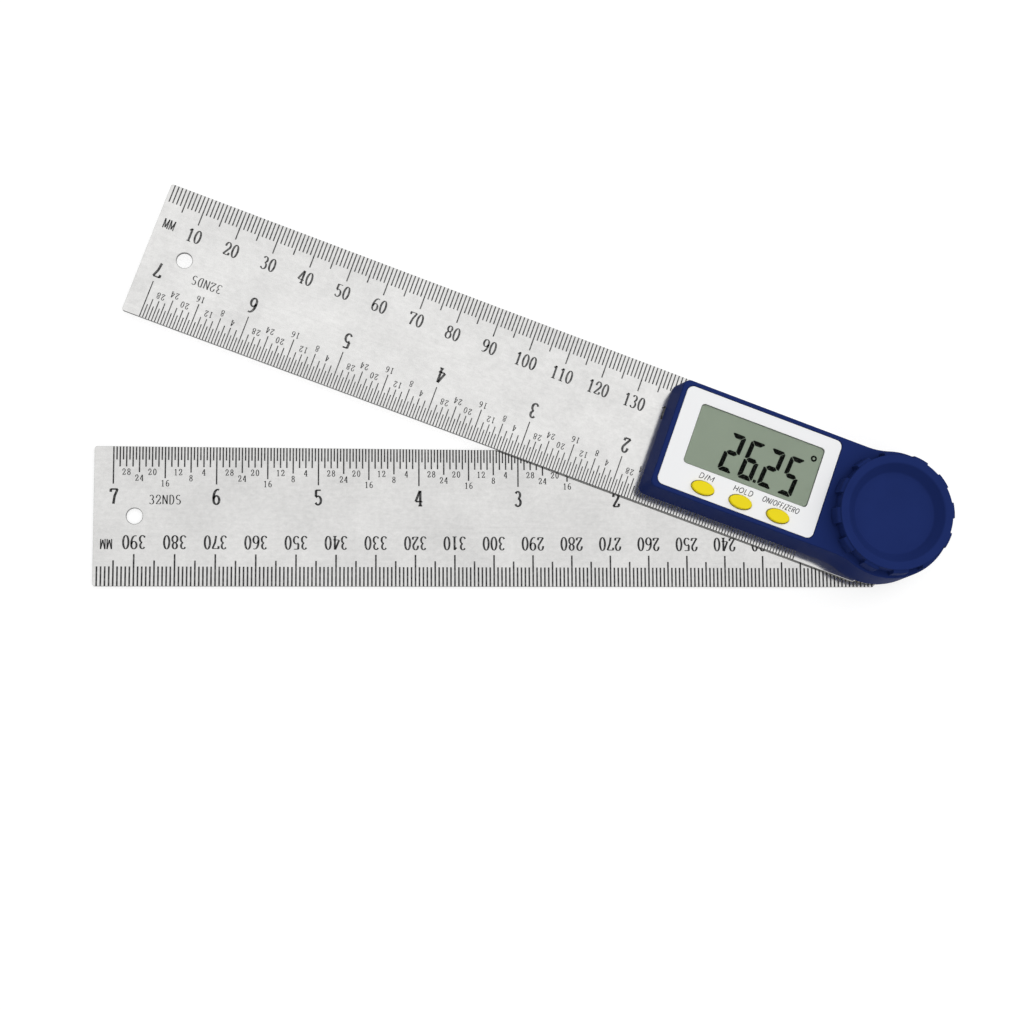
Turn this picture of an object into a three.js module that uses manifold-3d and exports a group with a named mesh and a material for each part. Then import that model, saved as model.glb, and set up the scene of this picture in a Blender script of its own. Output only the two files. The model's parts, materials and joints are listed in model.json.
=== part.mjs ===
import * as THREE from "three";
import { mergeVertices } from "three/addons/utils/BufferGeometryUtils.js";
import Module from "manifold-3d";

// A digital angle finder: two steel rules joined by a locking pivot, with a display housing on the upper one.
// Millimetres, +Z up. The origin is on the pivot axis at the underside of the base rule, which lies along -X.
// The display arm is modelled along -X as well and then swung open by the arm angle.

const wasm = await Module();
wasm.setup();

// Driving dimensions
const arm_angle_degrees = 20;
const cut_overrun = 1;
const face_play = 0.15;

const rule = {
  width: 35,
  thickness: 1.2,
  reach: 200,
  nose_radius: 16.8,
  nose_chamfer: 0.7,
  corner_radius: 0.6,
  hang_hole_radius: 2,
  hang_hole_inset: 10,
};
const glide = { thickness: 0.3, radius: 15.5 };
const hub = {
  shaft_radius: 6,
  foot_flare: 1.5,
  rotor_seat_radius: 4.6,
  rotor_seat_height: 1.9,
  stud_radius: 4,
  stud_end_gap: 0.4,
  stud_chamfer: 0.5,
};
const bush = { wall: 1.6, flange_width: 1.6, flange_thickness: 0.8 };
const rotor = {
  radius: 11.5,
  thickness: 0.8,
  air_gap: 0.8,
  rim: 1,
  track_width: 2.6,
  track_depth: 0.25,
  pads: 12,
  pad_width: 2.4,
};
const clip = { width: 1.9, thickness: 0.8 };

const housing = {
  back: 61.6,
  side_room: 0.6,
  end_bulge: 1.8,
  flare_radius: 18,
  corner_radius: 1.8,
  draft: 0.95,
  edge_radius: 0.4,
  wall: 1.6,
  top_wall: 1.2,
  stud_hole_radius: 7.2,
};
const housing_boss = { radius: 2.3, height: 8, side_inset: 3.1, back_inset: 4.6, cell_distance: 18 };
const housing_screw = {
  head_radius: 2,
  head_depth: 1.1,
  radius: 1,
  length: 6.5,
  recess: 0.5,
  recess_width: 0.7,
};
const board = { thickness: 1, hub_hole_radius: 8, inset: 0.3 };
const board_post = { radius: 1.9, along: 15.4, side: 8 };
const board_screw = { head_radius: 1.7, head_height: 0.7, radius: 0.8, length: 3 };
const chip = { side: 7, thickness: 1, along: 41 };

const cell = { radius: 10, thickness: 3.2, along: 38.5, play: 0.3, edge_radius: 0.4 };
const battery_cap = {
  wall: 1.5,
  seat: 0.4,
  lug_reach: 0.6,
  lug_width: 4,
  lug_thickness: 0.8,
  lug_lift: 0.15,
  lugs: 3,
  turn_degrees: 45,
  slot_length: 15,
  slot_width: 1.8,
  slot_depth: 0.8,
};
const holder = { groove_play: 0.15, groove_height: 1.3, wall: 0.35 };
const contact = { thickness: 0.2, width: 4, rise: 0.9, foot: 3, reach: 6 };

const panel = {
  side_rim: 0.9,
  back_rim: 1.05,
  knob_gap: 1.7,
  corner_radius: 1.7,
  thickness: 0.5,
  recess: 0.6,
};
const lcd_window = {
  back_border: 4.75,
  front_border: 3.75,
  key_border: 7.15,
  far_border: 3.25,
  corner_radius: 1,
};
const lens_proud = 0.4;
const glass = { margin: 1.2, ledge: 0.8, thickness: 1.8 };
const lcd_frame = { height: 2.9, side_inset: 1.9, wall: 1.3 };
const zebra = { width: 1.8 };

const button = {
  length: 6.3,
  width: 3.9,
  proud: 0.9,
  crown: 0.35,
  travel: 0.4,
  pitch: 10.2,
  back_inset: 11.84,
  side_inset: 2.45,
};
const button_ear = { reach: 0.95, width: 2.8, thickness: 0.8 };
const button_stem = { radius: 1.2 };
const button_names = ["mode", "hold", "power"];
const tact_switch = { side: 3.8, height: 1.6, plunger_radius: 1.1, plunger_height: 1 };

const washer = { thickness: 0.4, radius: 11.5 };
const knob = {
  height: 4.9,
  end_inset: 1.2,
  lobe_depth: 1.1,
  lobe_height: 3.9,
  lobe_draft: 0.3,
  lobes: 12,
  lobe_share: 0.5,
  lobe_turn_degrees: 2.5,
  edge_radius: 0.35,
  rim_width: 2,
  dish_slope: 2.3,
  dish_depth: 2.5,
  groove_wall: 1.6,
  groove_width: 4,
  groove_depth: 1.1,
};
const insert = { radius: 6.5, drop: 2.6, floor: 0.5 };

// Facets round a full circle
const fine = 72;
const round = 40;
const small = 20;

// Heights, from the bench up
const base_top = rule.thickness;
const display_bottom = base_top + glide.thickness;
const display_top = display_bottom + rule.thickness;
const cell_bottom = display_top + battery_cap.seat;
const cell_top = cell_bottom + cell.thickness;
const board_bottom = cell_top + contact.rise;
const board_top = board_bottom + board.thickness;
const rotor_top = board_bottom - rotor.air_gap;
const rotor_bottom = rotor_top - rotor.thickness;
const glass_bottom = board_top + lcd_frame.height;
const glass_top = glass_bottom + glass.thickness;
const ceiling = glass_top;
const recess_floor = ceiling + housing.top_wall;
const panel_top = recess_floor + panel.thickness;
const housing_top = recess_floor + panel.recess;
const knob_bottom = housing_top + washer.thickness;
const knob_top = knob_bottom + knob.height;
const dish_floor = knob_top - knob.dish_depth;
const insert_bottom = knob_bottom - insert.drop;
const insert_top = dish_floor - insert.floor;
const housing_height = housing_top - display_top;

// Round the cell: its bore, the cap that closes it, the holder and the housing that takes it in
const cell_bore = cell.radius + cell.play;
const cap_radius = cell_bore + battery_cap.wall;
const lug_radius = cap_radius + battery_cap.lug_reach;
const holder_groove = lug_radius + holder.groove_play;
const holder_radius = holder_groove + holder.wall;
const housing_half = holder_radius + housing.side_room + housing.wall;
const housing_end = housing_half + housing.end_bulge;

// Round the pivot
const bush_radius = hub.shaft_radius + face_play + bush.wall;
const lobe_radius = housing_end - knob.end_inset;
const core_radius = lobe_radius - knob.lobe_depth;
const dish_radius = core_radius - knob.rim_width;
const dish_floor_radius = dish_radius - knob.dish_slope;
const groove_outer = core_radius - knob.groove_wall;

// Limits of the panel and of its window, along and across the display arm
const panel_half = housing_half - housing.draft - panel.side_rim;
const panel_back = housing.draft + panel.back_rim - housing.back;
const panel_front = -lobe_radius - panel.knob_gap;
const window_back = panel_back + lcd_window.back_border;
const window_front = panel_front - lcd_window.front_border;
const window_low = lcd_window.key_border - panel_half;
const window_high = panel_half - lcd_window.far_border;

// Places of the buttons, of the housing's screws and of the board's screws
const button_side = button.side_inset - panel_half;
const button_places = button_names.map((name, index) => [
  panel_back + button.back_inset + index * button.pitch,
  button_side,
  0,
]);
const boss_side = housing_half - housing_boss.side_inset;
const boss_alongs = [housing_boss.back_inset - housing.back, housing_boss.cell_distance - cell.along];
const boss_places = boss_alongs.flatMap((x) => [-boss_side, boss_side].map((y) => [x, y, 0]));
const board_post_places = [-board_post.side, board_post.side].map((y) => [-board_post.along, y, 0]);

// Finishes
const steel = { color: 0xd2d4d4, roughness: 0.34, metalness: 1 };
const bright_steel = { color: 0xc2c4c6, roughness: 0.25, metalness: 1 };
const brass = { color: 0xc8a252, roughness: 0.35, metalness: 1 };
const blue_plastic = { color: 0x1d2a6e, roughness: 0.38, metalness: 0 };
const white_print = { color: 0xf0f0f3, roughness: 0.45, metalness: 0 };
const clear_plastic = { color: 0xe4ece6, roughness: 0.08, metalness: 0, transparent: true, opacity: 0.35 };
const lcd_grey = { color: 0x8f9b8d, roughness: 0.3, metalness: 0 };
const yellow_key = { color: 0xf0dc22, roughness: 0.5, metalness: 0 };
const black_plastic = { color: 0x1c1d20, roughness: 0.55, metalness: 0 };
const slip_white = { color: 0xdedcd2, roughness: 0.6, metalness: 0 };
const circuit_green = { color: 0x1f5a3a, roughness: 0.5, metalness: 0.1 };
const grey_rubber = { color: 0x8a8c90, roughness: 0.8, metalness: 0 };

// Solids: a closed geometry becomes a solid that can be joined and cut
function solid(geometry) {
  geometry.deleteAttribute("normal");
  geometry.deleteAttribute("uv");
  const merged = mergeVertices(geometry);
  return new wasm.Manifold(
    new wasm.Mesh({
      numProp: 3,
      vertProperties: merged.attributes.position.array,
      triVerts: new Uint32Array(merged.index.array),
    }),
  );
}

function join(first, ...others) {
  return others.reduce((whole, other) => whole.add(other), first);
}

function cut(first, ...tools) {
  return tools.reduce((whole, tool) => whole.subtract(tool), first);
}

// A flat shape between two heights
function plate(shape, bottom, top) {
  const geometry = new THREE.ExtrudeGeometry(shape, { depth: top - bottom, bevelEnabled: false });
  return solid(geometry.translate(0, 0, bottom));
}

function block(from, to) {
  const size = to.map((value, axis) => value - from[axis]);
  const centre = to.map((value, axis) => (value + from[axis]) / 2);
  return solid(new THREE.BoxGeometry(...size).translate(...centre));
}

// A profile of [radius, height] pairs turned about a vertical axis
function turned(profile, facets = round) {
  const points = profile.map(([radius, height]) => new THREE.Vector2(radius, height));
  return solid(new THREE.LatheGeometry(points, facets).rotateX(Math.PI / 2));
}

function post(radius, bottom, top, facets = small) {
  return turned([[0, bottom], [radius, bottom], [radius, top], [0, top]], facets);
}

function ring(inner, outer, bottom, top, facets = round) {
  return turned([[inner, bottom], [outer, bottom], [outer, top], [inner, top], [inner, bottom]], facets);
}

// Points of an arc, angles in degrees
function arc(x, y, radius, from, to, steps) {
  return Array.from({ length: steps + 1 }, (unused, index) => {
    const angle = THREE.MathUtils.degToRad(from + ((to - from) * index) / steps);
    return new THREE.Vector2(x + radius * Math.cos(angle), y + radius * Math.sin(angle));
  });
}

// A closed body through outlines of equal point count, from the lowest to the highest
function loft(sections) {
  const count = sections[0].outline.length;
  const points = sections.flatMap(({ outline, height }) =>
    outline.flatMap((point) => [point.x, point.y, height]),
  );
  const faces = [];
  for (let level = 0; level + 1 < sections.length; level++) {
    for (let index = 0; index < count; index++) {
      const low = level * count + index;
      const next = level * count + ((index + 1) % count);
      faces.push(low, next, next + count, low, next + count, low + count);
    }
  }
  const last = (sections.length - 1) * count;
  for (const [a, b, c] of THREE.ShapeUtils.triangulateShape(sections[0].outline, [])) {
    faces.push(c, b, a);
  }
  for (const [a, b, c] of THREE.ShapeUtils.triangulateShape(sections.at(-1).outline, [])) {
    faces.push(last + a, last + b, last + c);
  }
  const geometry = new THREE.BufferGeometry();
  geometry.setAttribute("position", new THREE.Float32BufferAttribute(points, 3));
  geometry.setIndex(faces);
  return solid(geometry);
}

// Sections whose upper edge is rounded over
function edgeSections(outlineAt, inset, top, radius, steps) {
  return Array.from({ length: steps + 1 }, (unused, index) => {
    const angle = ((Math.PI / 2) * index) / steps;
    const height = top - radius + radius * Math.sin(angle);
    return { outline: outlineAt(inset + radius * (1 - Math.cos(angle))), height };
  });
}

// Equal copies of a body, spaced round the vertical axis
function around(count, first_degrees, body) {
  return Array.from({ length: count }, (unused, index) =>
    body.rotate([0, 0, first_degrees + (360 * index) / count]),
  );
}

function roundedBox(left, right, low, high, radius) {
  return new THREE.Shape([
    ...arc(left + radius, low + radius, radius, 180, 270, 5),
    ...arc(right - radius, low + radius, radius, 270, 360, 5),
    ...arc(right - radius, high - radius, radius, 0, 90, 5),
    ...arc(left + radius, high - radius, radius, 90, 180, 5),
  ]);
}

function ovalPoints(length, width) {
  return arc(0, 0, 1, 0, 360, small)
    .slice(0, -1)
    .map(({ x, y }) => new THREE.Vector2((x * length) / 2, (y * width) / 2));
}

// A named mesh from a solid, added to its group
function piece(group, name, body, finish, place = [0, 0, 0]) {
  const { numProp, vertProperties, triVerts } = body.getMesh();
  const geometry = new THREE.BufferGeometry();
  geometry.setAttribute("position", new THREE.BufferAttribute(vertProperties, numProp));
  geometry.setIndex(new THREE.BufferAttribute(triVerts, 1));
  geometry.computeVertexNormals();
  const mesh = new THREE.Mesh(geometry, new THREE.MeshStandardMaterial({ ...finish, flatShading: true }));
  mesh.name = name;
  mesh.position.set(...place);
  group.add(mesh);
  return mesh;
}

// The steel blank of both rules, its pivot end rounded about the axis
function ruleBlank(bottom, top) {
  const half = rule.width / 2;
  const corner = rule.corner_radius;
  const shape = new THREE.Shape([
    ...arc(corner - rule.reach, corner - half, corner, 180, 270, 3),
    new THREE.Vector2(-rule.nose_chamfer, -half),
    ...arc(0, 0, rule.nose_radius, -90, 90, fine / 2),
    new THREE.Vector2(-rule.nose_chamfer, half),
    ...arc(corner - rule.reach, half - corner, corner, 90, 180, 3),
  ]);
  const hang_hole = post(rule.hang_hole_radius, bottom - cut_overrun, top + cut_overrun);
  return cut(plate(shape, bottom, top), hang_hole.translate([rule.hang_hole_inset - rule.reach, 0, 0]));
}

// The foot of the hub is riveted flush into a tapered hole
function hubFoot(play) {
  const wide = hub.shaft_radius + hub.foot_flare + play;
  const narrow = hub.shaft_radius + play;
  return [[0, 0], [wide, 0], [narrow, base_top]];
}

function baseRule() {
  const [start, wide, narrow] = hubFoot(face_play);
  const hole = turned([
    [start[0], -cut_overrun],
    [wide[0], -cut_overrun],
    wide,
    narrow,
    [narrow[0], base_top + cut_overrun],
    [0, base_top + cut_overrun],
  ]);
  return cut(ruleBlank(0, base_top), hole);
}

function pivotHub() {
  const stud_top = insert_top - hub.stud_end_gap;
  const seat_top = rotor_bottom + hub.rotor_seat_height;
  return turned([
    ...hubFoot(0),
    [hub.shaft_radius, rotor_bottom],
    [hub.rotor_seat_radius, rotor_bottom],
    [hub.rotor_seat_radius, seat_top],
    [hub.stud_radius, seat_top],
    [hub.stud_radius, stud_top - hub.stud_chamfer],
    [hub.stud_radius - hub.stud_chamfer, stud_top],
    [0, stud_top],
  ]);
}

// The slip disc between the rules
function glideWasher() {
  return ring(hub.shaft_radius + face_play, glide.radius, base_top, display_bottom);
}

// The plate of the angle sensor that stays with the hub, with its ring of raised pads
function encoderRotor() {
  const bore = hub.rotor_seat_radius + face_play;
  const track_outer = rotor.radius - rotor.rim;
  const track_inner = track_outer - rotor.track_width;
  const floor = rotor_top - rotor.track_depth;
  const disc = ring(bore, rotor.radius, rotor_bottom, rotor_top);
  const track = ring(track_inner, track_outer, floor, rotor_top + cut_overrun);
  const half = rotor.pad_width / 2;
  const pad = block(
    [track_inner - face_play, -half, floor - face_play],
    [track_outer + face_play, half, rotor_top],
  );
  return join(cut(disc, track), ...around(rotor.pads, 0, pad));
}

function rotorClip() {
  const bore = hub.rotor_seat_radius + face_play;
  return ring(bore, bore + clip.width, rotor_top, rotor_top + clip.thickness);
}

function displayRule() {
  const bush_hole = bush_radius + face_play;
  const cap_hole = cap_radius + face_play;
  const low = display_bottom - cut_overrun;
  const high = display_top + cut_overrun;
  const notch_half = battery_cap.lug_width / 2 + face_play;
  const notch_reach = lug_radius + face_play;
  const notch = block([0, -notch_half, low], [notch_reach, notch_half, high]);
  const notches = around(battery_cap.lugs, -battery_cap.turn_degrees, notch);
  const cap_opening = join(post(cap_hole, low, high, round), ...notches).translate([-cell.along, 0, 0]);
  const sinks = boss_places.map((place) => screwSink().translate(place));
  const pivot_opening = post(bush_hole, low, high, round);
  return cut(ruleBlank(display_bottom, display_top), pivot_opening, cap_opening, ...sinks);
}

function pivotBush() {
  const bore = hub.shaft_radius + face_play;
  const collar = bush_radius + bush.flange_width;
  return turned([
    [bore, display_bottom],
    [bush_radius, display_bottom],
    [bush_radius, display_top],
    [collar, display_top],
    [collar, display_top + bush.flange_thickness],
    [bore, display_top + bush.flange_thickness],
    [bore, display_bottom],
  ]);
}

// Screws from under the rule hold the bosses of the housing
function screwSink() {
  const wide = housing_screw.head_radius + face_play;
  const narrow = housing_screw.radius + face_play;
  return turned(
    [
      [0, display_bottom - cut_overrun],
      [wide, display_bottom - cut_overrun],
      [wide, display_bottom],
      [narrow, display_bottom + housing_screw.head_depth],
      [narrow, display_top + cut_overrun],
      [0, display_top + cut_overrun],
    ],
    small,
  );
}

function crossRecess(bottom, depth, reach, width) {
  const arm = block([-reach, -width / 2, bottom - cut_overrun], [reach, width / 2, bottom + depth]);
  return join(arm, arm.rotate([0, 0, 90]));
}

function housingScrew() {
  const tip = display_bottom + housing_screw.length;
  const body = turned(
    [
      [0, display_bottom],
      [housing_screw.head_radius, display_bottom],
      [housing_screw.radius, display_bottom + housing_screw.head_depth],
      [housing_screw.radius, tip - housing_screw.radius],
      [0, tip],
    ],
    small,
  );
  const { recess, radius, recess_width } = housing_screw;
  return cut(body, crossRecess(display_bottom, recess, radius, recess_width));
}

// The housing seen from above: straight sides that flare into a round end about the pivot
function housingOutline(inset) {
  const half = housing_half - inset;
  const end = housing_end - inset;
  const flare = housing.flare_radius + inset;
  const corner = housing.corner_radius;
  const back = inset - housing.back;
  const across = half + flare;
  const along = Math.sqrt((end + flare) ** 2 - across ** 2);
  const lean = THREE.MathUtils.radToDeg(Math.atan2(across, along));
  return [
    ...arc(back + corner, corner - half, corner, 180, 270, 5),
    ...arc(-along, -across, flare, 90, lean, 6),
    ...arc(0, 0, end, lean - 180, 180 - lean, fine / 2).slice(1, -1),
    ...arc(-along, across, flare, -lean, -90, 6),
    ...arc(back + corner, half - corner, corner, 90, 180, 5),
  ];
}

function housingInset(height) {
  return (housing.draft * (height - display_top)) / housing_height;
}

function housingForm() {
  const edge_start = housing_top - housing.edge_radius;
  return loft([
    { outline: housingOutline(0), height: display_top },
    ...edgeSections(housingOutline, housingInset(edge_start), housing_top, housing.edge_radius, 3),
  ]);
}

function housingHollow() {
  return loft([
    { outline: housingOutline(housing.wall), height: display_top - cut_overrun },
    { outline: housingOutline(housing.wall), height: display_top },
    { outline: housingOutline(housing.wall + housingInset(ceiling)), height: ceiling },
  ]);
}

function panelShape(growth) {
  const across = panel_half + growth;
  return roundedBox(panel_back - growth, panel_front + growth, -across, across, panel.corner_radius);
}

function windowShape(growth) {
  const left = window_back - growth;
  const right = window_front + growth;
  return roundedBox(left, right, window_low - growth, window_high + growth, lcd_window.corner_radius);
}

function buttonHoles(bottom, top) {
  const hole = new THREE.Shape(ovalPoints(button.length + 2 * face_play, button.width + 2 * face_play));
  return button_places.map((place) => plate(hole, bottom, top).translate(place));
}

function housingBosses() {
  const top = display_top + housing_boss.height;
  return boss_places.map((place) => post(housing_boss.radius, display_top, top).translate(place));
}

function boardPosts() {
  const body = post(board_post.radius, board_top, ceiling + face_play);
  return board_post_places.map((place) => body.translate(place));
}

function screwPilots() {
  const boss_depth = display_bottom + housing_screw.length + face_play;
  const housing_pilots = boss_places.map((place) =>
    post(housing_screw.radius + face_play, display_top - cut_overrun, boss_depth).translate(place),
  );
  const post_depth = boardScrewTip() + face_play;
  const board_pilots = board_post_places.map((place) =>
    post(board_screw.radius + face_play, board_top - cut_overrun, post_depth).translate(place),
  );
  return [...housing_pilots, ...board_pilots];
}

function housingShell() {
  const form = housingForm();
  const bosses = housingBosses().map((boss) => boss.intersect(form));
  const shell = join(cut(form, housingHollow()), ...bosses, ...boardPosts());
  const high = housing_top + cut_overrun;
  const ear_room = button.travel + button_ear.thickness;
  return cut(
    shell,
    plate(panelShape(face_play), recess_floor, high),
    plate(windowShape(face_play), ceiling - cut_overrun, high),
    ...buttonHoles(ceiling - ear_room - face_play, high),
    post(housing.stud_hole_radius, ceiling - cut_overrun, high, round),
    ...screwPilots(),
  );
}

function facePanel() {
  return cut(
    plate(panelShape(0), recess_floor, panel_top),
    plate(windowShape(0), recess_floor - cut_overrun, panel_top + cut_overrun),
    ...buttonHoles(recess_floor - cut_overrun, panel_top + cut_overrun),
  );
}

function windowLens() {
  return plate(windowShape(-face_play), glass_top, recess_floor + lens_proud);
}

function lcdGlass() {
  const { margin, ledge, thickness } = glass;
  const upper = block(
    [window_back - margin, window_low - margin, glass_bottom + thickness / 2],
    [window_front + margin, window_high + margin, glass_top],
  );
  const lower = block(
    [window_back - margin, window_low - margin, glass_bottom],
    [window_front + margin, window_high + margin + ledge, glass_top - thickness / 2],
  );
  return join(upper, lower);
}

function lcdFrame() {
  const left = window_back + lcd_frame.side_inset;
  const right = window_front - lcd_frame.side_inset;
  const outer = block([left, window_low, board_top], [right, window_high, glass_bottom]);
  const inner = block(
    [left + lcd_frame.wall, window_low + lcd_frame.wall, board_top - cut_overrun],
    [right - lcd_frame.wall, window_high - lcd_frame.wall, glass_bottom + cut_overrun],
  );
  return cut(outer, inner);
}

function zebraStrip() {
  const end = lcd_frame.side_inset + lcd_frame.wall + face_play;
  const outer = window_high - lcd_frame.wall - face_play;
  return block(
    [window_back + end, outer - zebra.width, board_top],
    [window_front - end, outer, glass_bottom],
  );
}

function boardScrewTip() {
  return board_bottom + board_screw.length;
}

// One board carries the display, the keys and the fixed plate of the angle sensor round the pivot
function circuitBoard() {
  const edge = housing.wall + housingInset(board_top) + board.inset;
  const outline = loft([
    { outline: housingOutline(edge), height: board_bottom },
    { outline: housingOutline(edge), height: board_top },
  ]);
  const low = board_bottom - cut_overrun;
  const high = board_top + cut_overrun;
  const relief = post(housing_boss.radius + board.inset, low, high);
  const reliefs = boss_places.map((place) => relief.translate(place));
  const hole = post(board_screw.radius + face_play, low, high);
  const holes = board_post_places.map((place) => hole.translate(place));
  return cut(outline, post(board.hub_hole_radius, low, high, round), ...reliefs, ...holes);
}

function boardScrew() {
  const head_bottom = board_bottom - board_screw.head_height;
  const body = turned(
    [
      [0, head_bottom],
      [board_screw.head_radius, head_bottom],
      [board_screw.head_radius, board_bottom],
      [board_screw.radius, board_bottom],
      [board_screw.radius, boardScrewTip()],
      [0, boardScrewTip()],
    ],
    small,
  );
  const { head_height, radius } = board_screw;
  return cut(body, crossRecess(head_bottom, head_height / 2, radius, radius / 2));
}

function controllerChip() {
  const half = chip.side / 2;
  const middle = (window_low + window_high) / 2 - zebra.width;
  return block(
    [-chip.along - half, middle - half, board_top],
    [half - chip.along, middle + half, board_top + chip.thickness],
  );
}

function tactSwitch() {
  const half = tact_switch.side / 2;
  const body_top = board_top + tact_switch.height;
  const body = block([-half, -half, board_top], [half, half, body_top]);
  return join(body, post(tact_switch.plunger_radius, board_top, body_top + tact_switch.plunger_height));
}

// A key: an oval crown through the panel, with ears that keep it in and a stem that meets its switch
function buttonKey() {
  const oval = (inset) => ovalPoints(button.length - 2 * inset, button.width - 2 * inset);
  const ear_bottom = ceiling - button_ear.thickness;
  const switch_top = board_top + tact_switch.height + tact_switch.plunger_height;
  const crown = loft([
    { outline: oval(0), height: ear_bottom },
    ...edgeSections(oval, 0, panel_top + button.proud, button.crown, 3),
  ]);
  const reach = button.length / 2 + button_ear.reach;
  const ears = block([-reach, -button_ear.width / 2, ear_bottom], [reach, button_ear.width / 2, ceiling]);
  const stem_bottom = switch_top + button.travel + face_play / 2;
  return join(crown, ears, post(button_stem.radius, stem_bottom, ear_bottom + face_play));
}

function coinCell() {
  const step = cell.edge_radius;
  return turned([
    [0, cell_bottom],
    [cell.radius - step, cell_bottom],
    [cell.radius, cell_bottom + step],
    [cell.radius, cell_top - step],
    [cell.radius - step, cell_top - step],
    [cell.radius - 2 * step, cell_top],
    [0, cell_top],
  ]);
}

// The cap fills the hole in the rule; its lugs grip the rule's upper face until it is turned with a coin
function batteryCap() {
  const lug_bottom = display_top + battery_cap.lug_lift;
  const lug_top = lug_bottom + battery_cap.lug_thickness;
  const half_width = battery_cap.lug_width / 2;
  const lug = block([cell_bore, -half_width, lug_bottom], [lug_radius, half_width, lug_top]).intersect(
    post(lug_radius, lug_bottom, lug_top, round),
  );
  const lugs = around(battery_cap.lugs, 0, lug);
  const rim = ring(cell_bore, cap_radius, display_bottom, lug_top);
  const disc = post(cap_radius, display_bottom, cell_bottom, round);
  const half = battery_cap.slot_length / 2;
  const { slot_width } = battery_cap;
  const slot = roundedBox(-half, half, -slot_width / 2, slot_width / 2, slot_width / 3);
  const slot_top = display_bottom + battery_cap.slot_depth;
  return cut(join(disc, rim, ...lugs), plate(slot, display_bottom - cut_overrun, slot_top));
}

function batteryHolder() {
  const groove_top = display_top + holder.groove_height;
  const cup = turned([
    [holder_groove, display_top],
    [holder_radius, display_top],
    [holder_radius, board_bottom],
    [cell_bore, board_bottom],
    [cell_bore, groove_top],
    [holder_groove, groove_top],
    [holder_groove, display_top],
  ]);
  const half = contact.width / 2 + face_play;
  const slot_reach = cell_bore + contact.thickness + 2 * face_play;
  return cut(cup, block([-slot_reach, -half, groove_top], [0, half, board_bottom + cut_overrun]));
}

// A spring leaf from the board down to the middle of the cell
function negativeContact() {
  const { thickness, foot, reach, width } = contact;
  const shape = new THREE.Shape();
  const touch = cell_top + face_play;
  shape.moveTo(-reach - foot, board_bottom);
  shape.lineTo(-reach - foot, board_bottom - thickness);
  shape.lineTo(-reach, board_bottom - thickness);
  shape.lineTo(-thickness, touch);
  shape.lineTo(foot / 2, touch);
  shape.lineTo(foot / 2, touch + thickness);
  shape.lineTo(0, touch + thickness);
  shape.lineTo(-reach, board_bottom);
  return contactStrip(shape, width).rotate([0, 0, 180]);
}

// An angle that stands against the side of the cell
function positiveContact() {
  const { thickness, foot, width } = contact;
  const inner = -cell.radius - face_play;
  const shape = new THREE.Shape();
  shape.moveTo(inner, board_bottom);
  shape.lineTo(inner - thickness, board_bottom);
  shape.lineTo(inner - thickness, cell_bottom + cell.thickness / 2);
  shape.lineTo(inner, cell_bottom + cell.thickness / 2);
  const leg = contactStrip(shape, width);
  const pad = new THREE.Shape();
  pad.moveTo(inner - thickness, board_bottom);
  pad.lineTo(inner - thickness, board_bottom - thickness);
  pad.lineTo(inner + foot, board_bottom - thickness);
  pad.lineTo(inner + foot, board_bottom);
  return join(leg, contactStrip(pad, width));
}

// A profile drawn in X and Z, given its width across the arm
function contactStrip(shape, width) {
  const geometry = new THREE.ExtrudeGeometry(shape, { depth: width, bevelEnabled: false });
  return solid(geometry.rotateX(Math.PI / 2).translate(0, width / 2, 0));
}

function pressureWasher() {
  return ring(housing.stud_hole_radius, washer.radius, housing_top, knob_bottom);
}

// The locking knob: a dished cap with grip lobes that slope in to its rim
function lockKnob() {
  const rim = core_radius - knob.edge_radius;
  const rim_arc = arc(rim, knob_top - knob.edge_radius, knob.edge_radius, 0, 90, 3);
  const core = turned(
    [
      [0, knob_bottom],
      [core_radius, knob_bottom],
      ...rim_arc.map(({ x, y }) => [x, y]),
      [dish_radius, knob_top],
      [dish_floor_radius, dish_floor],
      [0, dish_floor],
    ],
    fine,
  );
  const lobe_form = turned(
    [
      [0, knob_bottom],
      [lobe_radius - knob.edge_radius, knob_bottom],
      [lobe_radius, knob_bottom + knob.edge_radius],
      [lobe_radius - knob.lobe_draft, knob_bottom + knob.lobe_height],
      [rim, knob_top - knob.edge_radius / 2],
      [0, knob_top - knob.edge_radius / 2],
    ],
    fine,
  );
  const half_degrees = (knob.lobe_share * 180) / knob.lobes;
  const wedge = new THREE.Shape([
    ...arc(0, 0, dish_radius, half_degrees, -half_degrees, 2),
    ...arc(0, 0, lobe_radius + cut_overrun, -half_degrees, half_degrees, 2),
  ]);
  const dish = turned(
    [
      [0, dish_floor],
      [dish_floor_radius, dish_floor],
      [dish_radius, knob_top],
      [dish_radius, knob_top + cut_overrun],
      [0, knob_top + cut_overrun],
    ],
    fine,
  );
  const wedges = around(knob.lobes, knob.lobe_turn_degrees, plate(wedge, knob_bottom, knob_top));
  const lobes = wedges.map((body) => body.intersect(lobe_form));
  const low = knob_bottom - cut_overrun;
  const groove_top = knob_bottom + knob.groove_depth;
  const groove = ring(groove_outer - knob.groove_width, groove_outer, low, groove_top);
  const pocket = post(insert.radius + face_play, low, insert_top, round);
  return cut(join(core, ...lobes), dish, groove, pocket);
}

function knobInsert() {
  return ring(hub.stud_radius + face_play, insert.radius, insert_bottom, insert_top);
}

// The base arm, which the object lies on
function baseArm() {
  const group = new THREE.Group();
  piece(group, "base_rule", baseRule(), steel);
  piece(group, "pivot_hub", pivotHub(), bright_steel);
  piece(group, "glide_washer", glideWasher(), slip_white);
  piece(group, "encoder_rotor", encoderRotor(), circuit_green);
  piece(group, "rotor_clip", rotorClip(), bright_steel);
  piece(group, "lock_knob", lockKnob(), blue_plastic);
  piece(group, "knob_insert", knobInsert(), brass);
  return group;
}

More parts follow.
